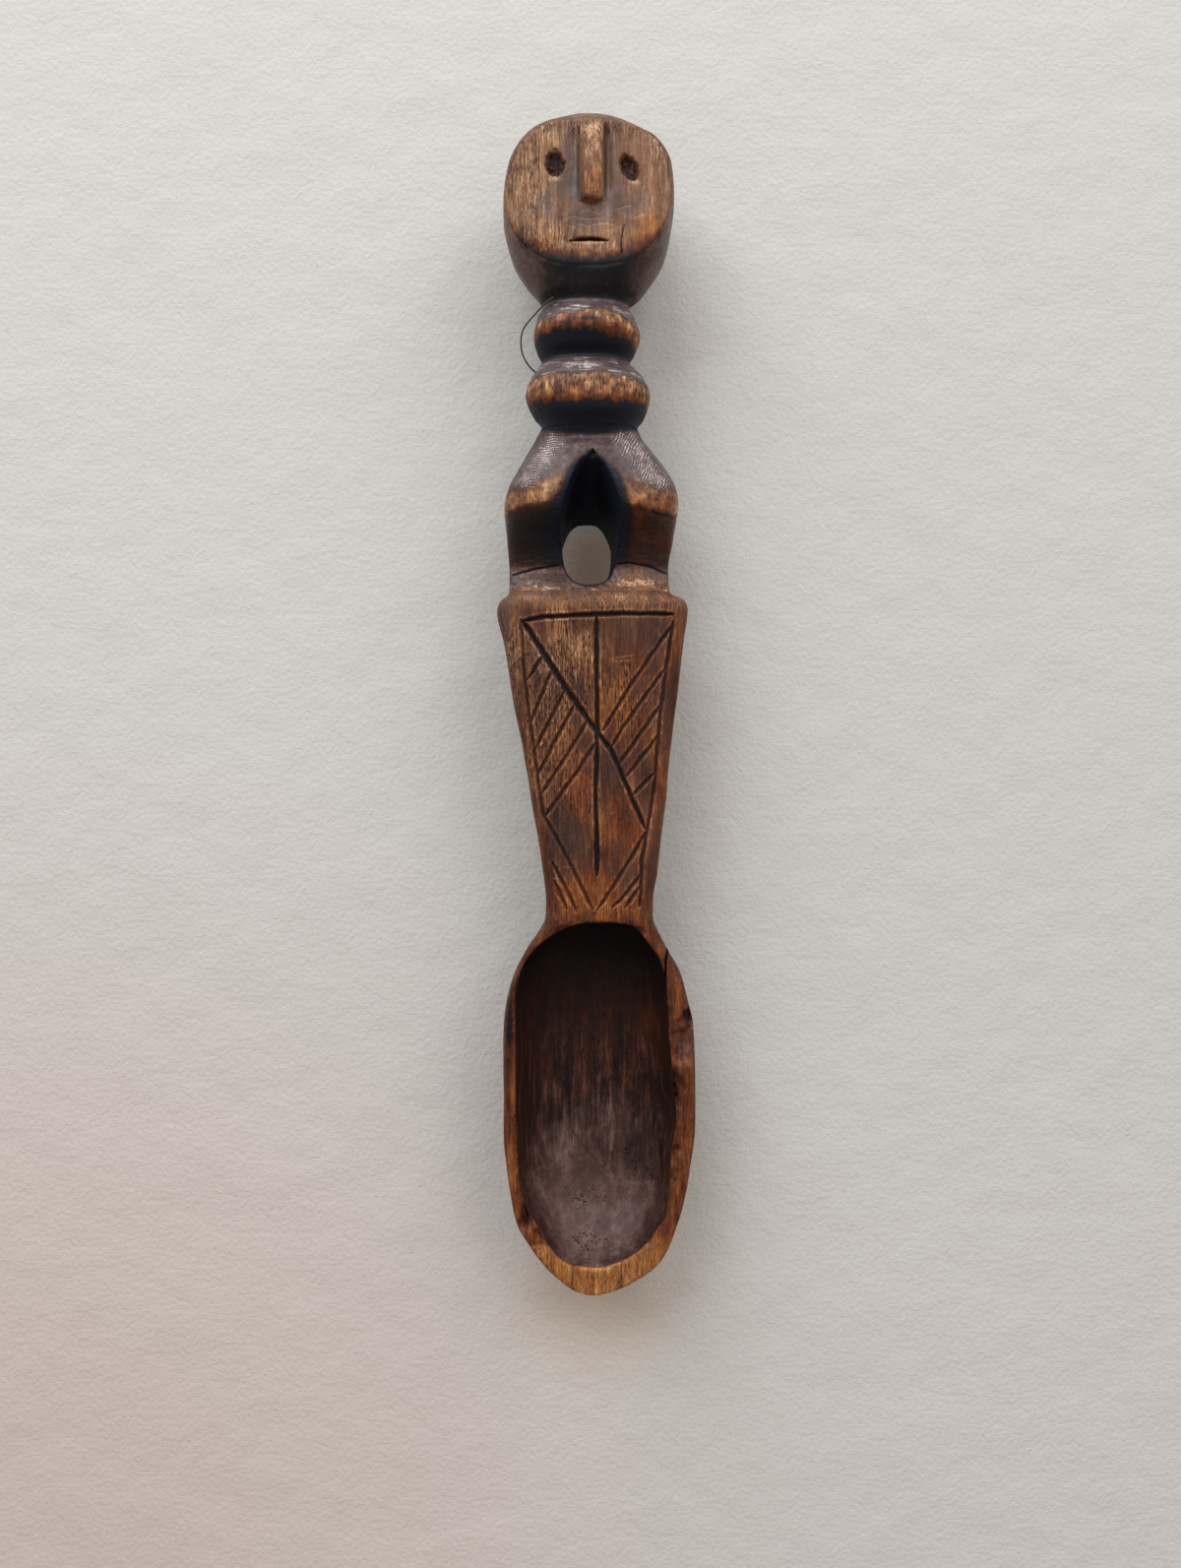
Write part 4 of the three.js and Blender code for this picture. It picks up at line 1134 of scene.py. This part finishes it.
    # Painted sheen on the shoulders, chest, foot slope and sides, with grey film; none on the knees and
    # little in the painted shade of the arch
    masks["haze"] += 0.8 * shoulder + 0.35 * chest + 0.5 * slope * (1 - foot) + (0.55 - 0.25 * toPanel) * side
    masks["haze"] += 0.3 * leg * fade(fromMiddle, 13, 15.5)
    masks["haze"] *= (1 - knee) * (1 - 0.85 * shade)
    # Painted shade in and around the arch and on the legs below the knees, darker on the left, and in
    # hollows; dirt in the neck groove, foot lines, knee line, notch and pits
    masks["soot"] += 1.2 * archWall + shade + leg * (0.42 - 0.22 * fade(x, 0, 8)) + 0.8 * groove
    masks["soot"] += 0.8 * (foot + 0.5 * kneeLine + split) + (0.35 * pits + 0.2 * hollow) * (1 - 0.5 * knee)
    masks["pitted"] += 0.3 * knee + 0.6 * ledge + 0.1
    # Painted glints along the crossed tool lines of the shoulders, and a painted highlight under the foot
    # lines
    masks["pale"] += 1.1 * shoulder**2 * fade(weave, 0.1, 0.9)
    masks["pale"] += 0.25 * footLipHighlight * fade(lumps(co, (0.6, 0.6, 0.6), 52), 0.3, 0.7)
    masks["pale"] += 0.6 * chew * fade(lumps(co, (0.7, 0.45, 0.7), 46), 0.5, 0.8)
    masks["pale"] += 0.2 * stripe(y, 48, 49.4, 0.3) * front * fade(lumps(co, (0.6, 0.4, 0.6), 53), 0.62, 0.8)
    masks["rasped"] += 0.6 * shoulder + 0.3 * side + 0.2 * leg
    carving.paint(masks)
    finishMember(thing, "figure_body", "wornDark", fromY, toY)


# Panel: a flat tapering handle with incised lines

panel = {
    "voxel": 0.34,
    "spare": 1,
    "deep": {"halfWidth": 0.62, "depth": 0.62, "dirt": 0.9},
    "fine": {"halfWidth": 0.54, "depth": 0.42, "dirt": 0.6},
    "frayedStroke": 2,  # the long diagonal is frayed above the crossing
    "deepStrokes": [
        [(-13.5, 14.6), (-9, 15.3), (6.2, 15.9), (13.9, 15.7)],
        [(0, 15.6), (0, 4.5), (0.2, -5.4), (-0.2, -17), (0, -24), (0.1, -32)],
        [(-13.4, 14.4), (-9.1, 7.9), (-5.4, 2), (-0.1, -5.4), (2.7, -9), (8.9, -23.4)],
    ],
    "fineStrokes": [
        [(13.9, 13.9), (6.2, 2.8), (1.2, -5.4)],
        [(-13.8, 14.8), (-13.1, 4.5), (-11.9, -5.5), (-10.6, -15), (-9.5, -22)],
        [(13.9, 14.4), (12.7, 5.7), (11.5, -3), (10.4, -16.9), (8.3, -29), (7.9, -37.6)],
        [(-9.5, 8.6), (-12.9, 3.4)], [(-8, 6), (-12, -3.8)], [(-5.6, 2.2), (-11.5, -9.3)],
        [(-3.9, -0.4), (-7.2, -6.6), (-10.9, -13.8)], [(-1.6, -3.6), (-7.2, -12.7), (-10.1, -17)],
        [(0, -7.4), (-3.4, -12.7), (-9.5, -21.2)], [(12.7, 6.1), (4.8, -4.8), (2.7, -8.4)],
        [(11.4, -1.1), (4, -11.7)], [(11.4, -5.9), (9.8, -8.4), (5.4, -13.8)],
        [(10.4, -13.3), (6.4, -17.4)], [(-9.4, -21.2), (-4.5, -30.3), (-0.7, -38.1)],
        [(9, -24), (4.3, -32), (0.2, -38.1)], [(-8.1, -29.4), (-5.1, -35.2), (-3.6, -38.6)],
        [(-7.7, -32.9), (-5.4, -38.1)], [(7.9, -32), (4.3, -36.5), (2.9, -37.7)],
        [(7.9, -33.9), (5.2, -37.7)],
    ],
    "scratches": [
        [(2.3, 7.7), (7.1, 8.4)], [(2.7, 7.2), (7, 7.5)], [(-6.6, -30.1), (-4.4, -30.4)],
        [(10.2, -17.5), (11.3, -16.6)], [(1.8, -20.6), (3.6, -20.2)], [(-7.9, -33.6), (-6.4, -35.4)],
        [(-7.6, -31), (-6.9, -34)], [(10.8, 13.6), (11.9, 11.2)], [(-3.6, -8.6), (-2.2, -10.4)],
    ],
    "patches": {
        "rubbed": [
            (-6, 9.5, 6.5, 6, 0.24), (-15.4, 8, 2.6, 12, 0.2), (-8, -3, 5, 8, 0.06), (3.2, 1, 4.5, 5, 0.1),
            (-4, -15, 4, 5, 0.06), (5, -21, 3.6, 5, -0.05), (8, 11, 6, 4.5, -0.05), (-9, -6, 4, 9, 0.06),
            (-5, -25.5, 4, 4.5, -0.16), (3, -12.5, 3, 4.5, -0.12), (-0.5, -35, 7, 3, 0.12),
            (0.5, -38.6, 11, 1.8, 0.12), (9.5, -14, 3, 7, -0.1), (14.6, 0, 2.4, 14, -0.14),
            (-11, -14, 2, 6, 0.04), (0, 17.8, 18, 2, 0.12), (-10, 18, 5, 2, 0.08), (5, 18.4, 5, 2, 0.08),
            (-8, -33, 2.4, 5, -0.08), (9, -33, 2, 5, -0.08),
        ],
        "amber": [
            (3, -1.5, 4.5, 6, 0.5), (6, 7, 6, 6, 0.3), (4.8, -22, 4.5, 6, 0.6), (0.5, -37, 12, 4.4, 0.9),
            (-6, -8, 5, 8, 0.15), (7.5, -6, 4, 6, 0.4), (12.5, -18, 2, 8, 0.6), (-0.5, -33.5, 4, 4, 0.6),
            (-3.6, -17, 4, 5, 0.4), (14.2, 6, 2.4, 12, 0.4), (-11, -28, 2, 8, 0.5),
        ],
        "haze": [
            (8.5, 12.5, 5.5, 3.4, 0.45), (5, 6, 5, 4, 0.1), (-5.2, -25, 4, 4.6, 0.5), (3, -12.5, 3, 5, 0.5),
            (-16.8, 14.5, 2, 5, 0.75), (12.4, 4, 1.4, 10, 0.4), (-12, 9.5, 1.5, 4.5, 0.3),
            (9, -10, 3, 4, 0.25), (5.5, -33, 2.2, 3.5, 0.35), (-6.5, -31, 2.4, 4, 0.2),
            (-2, 10, 2, 4, 0.15), (-13, 19.5, 4, 1.2, 0.5), (-3, -3, 2.5, 3, 0.15),
        ],
        "soot": [
            (1, -28, 1.5, 3, 0.5), (-9.8, -27, 1.4, 8, 0.2), (10.4, -30, 1.6, 7, 0.15),
            (14.8, 3, 1.4, 12, 0.15), (-11.5, 6, 1, 4, 0.15), (13, 12, 1.4, 3, 0.2),
        ],
        "pitted": [
            (-6.5, 8, 7.5, 8.5, 0.8), (-9, -6, 7, 13, 0.7), (3.5, 1, 5, 8, 0.6), (2, 18, 6, 2.4, 0.6),
            (-15.5, 4, 2.5, 15, 0.7), (13, 18, 4, 2.5, 0.6), (0, -38.5, 10, 2, 0.4), (8, -5, 5, 8, 0.35),
            (0, -20, 8, 10, 0.3),
        ],
        "pale": [
            (0.2, -28.4, 0.5, 0.5, 0.5), (13, 18.6, 2.6, 0.8, 0.3), (-12.5, 18.9, 4, 0.6, 0.3),
            (4, 19, 3, 0.8, 0.3), (-16.2, 12, 0.7, 4, 0.25), (15.4, 10, 0.5, 4, 0.25),
            (11.8, -14, 0.4, 4, 0.25),
        ],
    },
}


def makePanel():
    fromY, toY, spare = seams["panelBowl"], seams["figurePanel"], panel["spare"]
    thing = toObject(loftTemplates(billet, fromY - spare, toY + spare, sides=192), "incisedPanel")
    carving = roughOut(thing, panel["voxel"])
    carving.rubRound(7, 0.7 * fade(carving.bulge(30), 0.1, 0.4))
    carving.settle()
    refine(thing, (carving.normal[:, 2] > 0.55) & (carving.co[:, 2] > 16))

    carving = Carving(thing)
    co, _, y, z = carving.places()
    onTop = fade(carving.normal[:, 2], 0.3, 0.8) * fade(z, 15, 17)
    carveByHand(carving, 1 - 0.8 * onTop, 0.5 + 0.5 * onTop)
    drawn = co.copy()
    drawn[:, 0] += 0.16 * drift(co, (1.6, 1.6, 30), 57)
    drawn[:, 1] += 0.16 * drift(co, (1.6, 1.6, 30), 58)
    cutDepth, darkened, lip = np.zeros((3, carving.count))
    strokes = [(points, panel[kind]) for kind in ("deep", "fine") for points in panel[kind + "Strokes"]]
    for k, (points, knife) in enumerate(strokes):
        gap, toEnd = strokeGap(drawn, points)
        frayed = fade(y, -9, -3) if k == panel["frayedStroke"] else 0
        swing = lumps(co, (0.45, 0.9, 9), 80 + k) + lumps(co, (2.5, 2.5, 9), 110 + k) - 1
        uneven = 1 + 0.35 * frayed + (0.3 + 0.35 * frayed) * swing
        width = knife["halfWidth"] * uneven * (0.5 + 0.5 * fade(toEnd, 0, 1.6))
        share = np.clip(1 - gap / width, 0, 1)
        cutDepth = np.maximum(cutDepth, knife["depth"] * fade(share, 0, 0.9) * (0.6 + 0.4 * uneven))
        darkened = np.maximum(darkened, knife["dirt"] * fade(share, 0.05, 1))
        lip = np.maximum(lip, 1 - fade(np.abs(gap - width - 0.05), 0.05, 0.3))
    masks = daub(co, panel["patches"])
    flaw = specks(co, (0.38, 1.2, 0.38), 63, 0.1, 0.42, 0.68)
    openGrain = flaw * np.clip(masks["pitted"], 0, 1) * onTop
    scratches = scratch(co, panel["scratches"], 0.2)
    slow = 0.12 * lumps(co, (3, 4, 30), 64) + 0.05 * lumps(co, (0.3, 3.2, 9), 65)
    carving.press((cutDepth + 0.12 * openGrain + 0.06 * scratches - 0.05 * lip + slow) * onTop, (0, 0, 1))
    wearFlat(carving)

    rim = fade(carving.bulge(60), 0.04, 0.25)
    side = 1 - onTop
    for name in masks:
        masks[name] *= onTop
    # Wear on the standing edges, and a faint painted highlight along the groove lips
    masks["rubbed"] += 0.4 + 0.12 * rim + 0.04 * lip * onTop - 0.1 * side
    masks["rubbed"] += 0.16 * drift(co, (2.5, 5, 2.5), 66)
    masks["amber"] += 0.3 + 0.15 * side
    masks["haze"] += 0.4 * side * (1 - rim * fade(toY - y, 0, 4))
    masks["soot"] += darkened * onTop + 0.35 * openGrain
    # Pale scratches, and a painted highlight along the lips of the grooves
    masks["pale"] += 0.5 * scratches + 0.35 * lip * fade(lumps(co, (0.6, 0.6, 9), 71), 0.55, 0.8) * onTop
    masks["pitted"] += 0.2
    masks["rasped"] += 0.25 * side
    carving.paint(masks)
    finishMember(thing, "handle_panel", "panel", fromY, toY)


# Bowl: a deep oval, dark and polished inside, with painted shadow toward the handle, a grey deposit under a
# painted sheen in its bottom, and a worn tan rim

bowl = {
    "voxel": 0.38,
    "spare": 1,
    "hollow": {
        "left": [
            (-104.8, -2.5), (-104.4, -5.5), (-102.4, -7.8), (-99.8, -9.6), (-96.4, -11.5), (-92, -13.6),
            (-88.3, -14.2), (-76, -14.7), (-60, -14.8), (-54.5, -14.8), (-51.1, -14.2), (-48.4, -13.2),
            (-45.7, -11.2), (-43.3, -8.6), (-41.6, -5.4), (-40.7, -2.2),
        ],
        "right": [
            (-104.8, 2.4), (-103.4, 5.6), (-101.1, 8.7), (-97.4, 11.4), (-95, 12.9), (-91.4, 13.4),
            (-84, 13.8), (-77, 14.7), (-70, 14), (-60.9, 13.2), (-51.9, 12.7), (-48, 11.8), (-43.9, 9.1),
            (-41.6, 7.2), (-40.9, 5.4), (-40.7, 3.6),
        ],
        "front": 21,
        "back": [
            (-104.8, 15.1), (-103, 12.4), (-100, 9.2), (-95, 6.2), (-88, 4.4), (-80, 3.6), (-72, 3.4),
            (-62, 3.6), (-54, 4.6), (-48, 6.6), (-44, 9.6), (-41.8, 13), (-40.7, 16.2),
        ],
        "widest": 18.6,
        "frontCorner": 4,
        "backCorner": 2.7,
    },
    "hollowTipY": -104.8,
    "hollowTopY": -40.7,
    "cracks": [
        {"points": [(13.4, -44.4), (12.7, -47.5), (12.6, -54.2)], "halfWidth": 0.3, "depth": 0.9, "fill": 1},
        {
            "points": [(-0.6, -105.2), (-0.5, -107), (-0.6, -109)],
            "halfWidth": 0.16, "depth": 0.15, "fill": 0.5,
        },
        {
            "points": [(-4.9, -82.2), (-3.4, -84.5), (-1.1, -87.4), (2.3, -90.8)],
            "halfWidth": 0.22, "depth": 0.08, "fill": 0.3,
        },
    ],
    # Places where the rim is bitten or worn lower, as x, y, half width, half height and depth
    "bites": [
        (17, -58.1, 1.8, 2.2, 1.3), (15.4, -62.5, 2, 4.5, 0.8), (14.4, -71.2, 2, 4.6, 1.2),
        (-13, -95.6, 1.4, 3, 1.2), (-10.4, -99.6, 1.8, 2.4, 1), (14.4, -86, 1.6, 4.6, 0.8),
        (-14.6, -80, 0.8, 9, 0.5), (-14.4, -55, 0.9, 6, 0.5), (9.8, -98.8, 1.8, 2.4, 0.6),
        (13.2, -78.6, 1.4, 2.4, 0.6), (-6, -42.4, 2.4, 1.2, 0.5), (7, -42.4, 2.4, 1, 0.4),
    ],
    # The upper border of the smooth grey deposit and its painted sheen in the bottom, as x and y
    "depositAndSheen": [
        (-14, -90), (-9.3, -89.1), (-5, -86), (-1.7, -83.3), (0.5, -86), (1.9, -90), (6.2, -91.9),
        (14, -90),
    ],
    "crust": [
        (-2.8, -94.9, 3.4, 2, 0.9), (-1, -101, 2.6, 2.6, 1), (5.5, -87.5, 2.4, 2, 0.5),
        (9.5, -90, 2.2, 3, 0.5),
    ],
    "patches": {
        # Among these, the dark bands across the upper end of the hollow are painted shadow
        "soot": [
            (17, -58.1, 1.3, 1.6, 0.5), (14.2, -71.2, 1.4, 4.2, 0.4), (-13, -95.6, 1.2, 3, 0.3),
            (8, -86.5, 4, 5, 0.4), (1, -45, 8, 4, 0.3), (11, -76, 2.4, 7, 0.2),
            (-10.4, -99.6, 1.4, 2.2, 0.25), (0.5, -41.4, 8, 1.1, 0.5), (9, -97, 2, 4, 0.2),
            (16.9, -48, 0.9, 3, 0.3),
        ],
        # The broad patches in the bottom are grey deposit under a painted sheen
        "haze": [
            (15.8, -63.2, 2.4, 4.2, 0.6), (-15, -47.5, 1.8, 3.5, 0.45), (15.6, -85.8, 1.6, 3.6, 0.3),
            (0, -96, 12, 9, 0.45), (3, -80, 4, 5, 0.3), (-6, -84, 5, 4, 0.35), (9, -68, 3, 4, 0.15),
        ],
        "rubbed": [
            (17.4, -76, 1, 10, 0.06), (-16.5, -60, 1.4, 16, -0.2), (16.6, -70, 1.4, 16, 0.05),
            (16.2, -50.5, 1.8, 3, 0.1), (9, -62, 3, 7, 0.1), (-2, -66, 5, 9, 0.05), (1, -58, 4, 5, 0.04),
            (-16.2, -88, 2.2, 8, 0.22), (16.8, -94, 1.5, 6, 0.06), (12.5, -100.5, 3, 3, 0.06),
            (9, -42, 5, 2, 0.02),
        ],
        "amber": [
            (17.2, -74, 1.4, 12, 0.2), (-16, -88, 2, 9, 0.5), (-9, -45, 5, 3, 0.2), (9, -43, 5, 3, 0.2),
            (9, -62, 4, 8, 0.3), (15, -92, 2.5, 6, 0.3),
        ],
        "pale": [
            (17.6, -66, 0.8, 1.6, 0.4), (15.6, -66.6, 1.2, 0.8, 0.25), (0, -104.9, 6, 0.5, 0.3),
            (-12.4, -97.6, 0.8, 0.8, 0.35), (14, -84, 1, 2, 0.3), (1.5, -79, 1.2, 3.5, 0.25),
            (-16.9, -66, 0.4, 12, 0.25), (-6.5, -86.5, 2.5, 2.5, 0.08), (-2, -83.5, 1.5, 2, 0.1),
        ],
        "pitted": [
            (0, -107.3, 9, 2.6, 0.5), (-10, -103.5, 4, 3, 0.4), (10, -102.5, 4, 3, 0.5),
            (0, -74, 13, 14, 0.8), (0, -42, 9, 2, 0.4), (-16.3, -56, 1.5, 9, 0.4),
        ],
    },
}


def makeBowl():
    fromY, toY, hollow = tipY, seams["panelBowl"], bowl["hollow"]
    bm = loftTemplates(billet, fromY, toY + bowl["spare"], sides=192, crowdStart=1.6)
    thing = toObject(bm, "hollowedBowl")
    cutter = loftTemplates(hollow, bowl["hollowTipY"], bowl["hollowTopY"], sides=192)
    combine(thing, toObject(cutter, "hollowCutter"), "DIFFERENCE")
    carving = roughOut(thing, bowl["voxel"])
    carving.rubRound(5, 0.7 * fade(carving.bulge(25), 0.1, 0.45))
    carving.settle()
    x, y, z = carving.co.T
    crusty = daub(carving.co, {"soot": bowl["crust"]})["soot"] > 0.1
    marked = np.zeros(carving.count, bool)
    for crack in bowl["cracks"]:
        marked |= strokeGap(carving.co, crack["points"])[0] < 0.8
    onFloor = ((crusty & (z < 14)) | marked) & (carving.normal[:, 2] > 0.3)
    refine(thing, (z > readTemplate(billet["front"], y) - 1.2) | onFloor)

    carving = Carving(thing)
    co, x, y, z = carving.places()
    left, right = readTemplate(hollow["left"], y), readTemplate(hollow["right"], y)
    floorZ, rimZ = readTemplate(hollow["back"], y), readTemplate(billet["front"], y)
    shareAcross = np.abs(x - (left + right) / 2) / ((right - left) / 2)
    within = (shareAcross < 1.05) & (y > bowl["hollowTipY"] - 0.3) & (y < bowl["hollowTopY"] + 0.3)
    inside = within * fade(rimZ - z, 0.3, 1.1) * (z > floorZ - 0.8) * fade(carving.normal[:, 2], -0.4, -0.1)
    onRim = fade(z - rimZ, -1.1, -0.3) * (1 - inside)
    outside = (1 - inside) * (1 - onRim)
    top = fade(carving.normal[:, 2], 0.2, 0.6)
    carveByHand(carving, outside + 0.6 * inside, 0.5 + 0.9 * onRim)
    down, bitten, cracks = np.zeros((3, carving.count))
    ragged = 0.6 * drift(co, (0.9, 1.4, 0.9), 62)
    for biteX, biteY, halfWidth, halfHeight, depth in bowl["bites"]:
        far = np.hypot((x - biteX) / halfWidth, (y - biteY) / halfHeight) + ragged
        bite = 1 - fade(far, 0.4, 1.1)
        down += depth * bite * (0.7 + 0.6 * lumps(co, (0.6, 1, 0.6), 63))
        bitten = np.maximum(bitten, bite * min(1, depth))
    for crack in bowl["cracks"]:
        line = scratch(co, [crack["points"]], crack["halfWidth"])
        line *= np.maximum(inside, fade(z - rimZ, -3, -1))
        down += crack["depth"] * line
        cracks = np.maximum(cracks, line * crack["fill"])
    near, number = scatter(co, (0.42, 0.42, 0.42), 64)
    crust = daub(co, {"soot": bowl["crust"]})["soot"] * (z < 14)
    pitHere = number < 0.6 * crust
    pits = (1 - fade(near, 0.2, 0.5)) * pitHere * inside
    down += 0.3 * pits - 0.1 * crust * lumps(co, (0.5, 0.5, 0.5), 65) * inside
    down *= top
    down += 0.12 * lumps(co, (0.5, 4, 0.5), 61) * onRim + 0.16 * lumps(co, (2.4, 5, 2.4), 67) * inside
    carving.press(down, (0, 0, 1))
    wearFlat(carving)

    rag = 4 * drift(co, (2.5, 8, 2.5), 68)
    # Painted shadow at the upper end of the hollow, under the handle, fading toward the tip
    upper = 1 - fade(-y + rag, 42, 62)
    edgeY = readTemplate(bowl["depositAndSheen"], x) + 0.5 * rag
    lower = 0.7 * fade(-y + 2 * rag, 72, 96) + 0.3 * fade(edgeY - y, -0.2, 0.6) * (1 - fade(z, 7, 11))
    mid = fade(-y + rag, 54, 70) * (1 - fade(-y, 84, 96))
    tipRim = fade(-y, 94, 104)
    wall = inside * (1 - fade(carving.normal[:, 2], 0.3, 0.8))
    streak = drift(co, (0.9, 12, 0.9), 69)
    thin = drift(co, (0.35, 5, 0.35), 70)
    masks = daub(co, bowl["patches"])
    for name in ("rubbed", "haze", "amber", "soot", "pale"):
        masks[name] *= np.maximum(onRim, inside * fade(carving.normal[:, 2], 0, 0.5))
    masks["rubbed"] += onRim * (0.37 + 0.28 * tipRim + 0.2 * streak + 0.16 * thin - 0.04 * bitten)
    masks["rubbed"] += inside * (0.155 + mid * (0.03 + 0.07 * streak + 0.1 * thin)) + 0.3 * outside
    masks["amber"] += onRim * (0.75 - 0.1 * tipRim) + 0.45 * inside + 0.3 * outside
    # Grey deposit with a painted sheen in the lower bottom, which faces the window, less on the steep walls;
    # grey film outside
    masks["haze"] += inside * (0.14 * mid * (1 + 3 * thin) + 0.9 * lower - 0.25 * wall) + 0.4 * outside
    # Painted shadow at the upper end, away from the grey deposit and on the steep walls; dirt in the cracks
    # and pits
    masks["soot"] += inside * (0.3 * upper + 0.1 * (1 - lower) + 0.15 * wall) + cracks + 0.6 * pits
    masks["soot"] += 0.1 * bitten * onRim
    # A painted highlight along the rim's inner edge
    rimEdgeHighlight = onRim * fade(carving.blur(inside, 6), 0.15, 0.5)
    masks["pale"] += 0.2 * inside * mid * fade(thin, 0.1, 0.4)
    masks["pale"] += 0.16 * inside * stripe(edgeY - y, -0.2, 0.3, 0.3) * (z < 9)
    masks["pale"] += 0.6 * rimEdgeHighlight * fade(lumps(co, (0.6, 2.5, 0.6), 74), 0.3, 0.7)
    masks["pale"] += 0.15 * onRim * fade(thin, 0.15, 0.4)
    # Painted highlights round the pits of the crust
    masks["pale"] += 0.35 * inside * crust * stripe(near, 0.55, 0.75, 0.15) * pitHere
    masks["pitted"] += 0.2 + 0.35 * onRim
    masks["rasped"] += 0.2 * outside
    carving.paint(masks)
    finishMember(thing, "bowl", "bowl", fromY, toY)


print("carving the head")
makeHead()
print("carving the neck")
for ring in rings.values():
    makeRing(ring)
print("carving the figure")
makeFigure()
print("carving the panel")
makePanel()
print("carving the bowl")
makeBowl()


# Stage: a sheet of pale paper under soft window light from the top of the picture

stage = {
    "half": 1.6, "paper": paint(216, 216, 213), "fibre": paint(206, 205, 202),
    # Painted shade on the sheet: darker and pinker toward the bottom left, warm in the hole and below the
    # tip, slightly darker on the right; as x, y, where each starts to fade and where it ends, in mm
    "paintedShades": [
        ((-118, -170, 20, 190), (0.99, 0.87, 0.85, 1)), ((-2, 27, 4, 12), (1, 0.84, 0.7, 1)),
        ((0, -116, 2, 22), (1, 0.91, 0.84, 1)), ((118, 40, 30, 200), (0.96, 0.96, 0.97, 1)),
    ],
}


def makeStage():
    bm = bmesh.new()
    bmesh.ops.create_grid(bm, x_segments=1, y_segments=1, size=stage["half"])
    floor = toObject(bm, "paperFloor")
    shader = Shader("palePaper")
    tooth = shader.noise((0.9, 0.9, 0.9), detail=4, rough=0.6)
    swell = shader.noise((14, 14, 14), detail=3, rough=0.55)
    color = shader.blend(tooth, stage["fibre"], stage["paper"])
    # The painted shade is multiplied into the paper's colour
    for (x, y, start, end), shadeTint in stage["paintedShades"]:
        near = 1 - shader.fade(shader.distance(x, y), start, end)
        color = shader.blend(near, color, shadeTint, "MULTIPLY")
    floor.data.materials.append(shader.finish(color, 0.9, tooth * 0.65 + swell * 2.2, 0.3, specular=0.2))


lights = {
    "leftWindow": {"from": (-0.46, 0.84, 0.62), "size": 0.9, "power": 11, "color": (0.93, 0.98, 1)},
    "rightWindow": {"from": (0.56, 0.74, 0.66), "size": 0.9, "power": 7, "color": (0.97, 0.97, 0.97)},
    "world": {"color": (1, 0.86, 0.74, 1), "strength": 0.36},
}


def makeLights():
    for name in ("leftWindow", "rightWindow"):
        look = lights[name]
        lamp = bpy.data.lights.new(name, "AREA")
        lamp.size = look["size"]
        lamp.energy = look["power"]
        lamp.color = look["color"]
        light = bpy.data.objects.new(name, lamp)
        light.location = look["from"]
        light.rotation_mode = "QUATERNION"
        light.rotation_quaternion = (-Vector(look["from"])).to_track_quat("-Z", "Y")
        bpy.context.scene.collection.objects.link(light)
    world = bpy.data.worlds.new("room")
    world.use_nodes = True
    sky = world.node_tree.nodes["Background"]
    sky.inputs["Color"].default_value = lights["world"]["color"]
    sky.inputs["Strength"].default_value = lights["world"]["strength"]
    bpy.context.scene.world = world


print("setting the stage")
makeStage()
makeLights()
bpy.context.scene.view_settings.view_transform = "Standard"
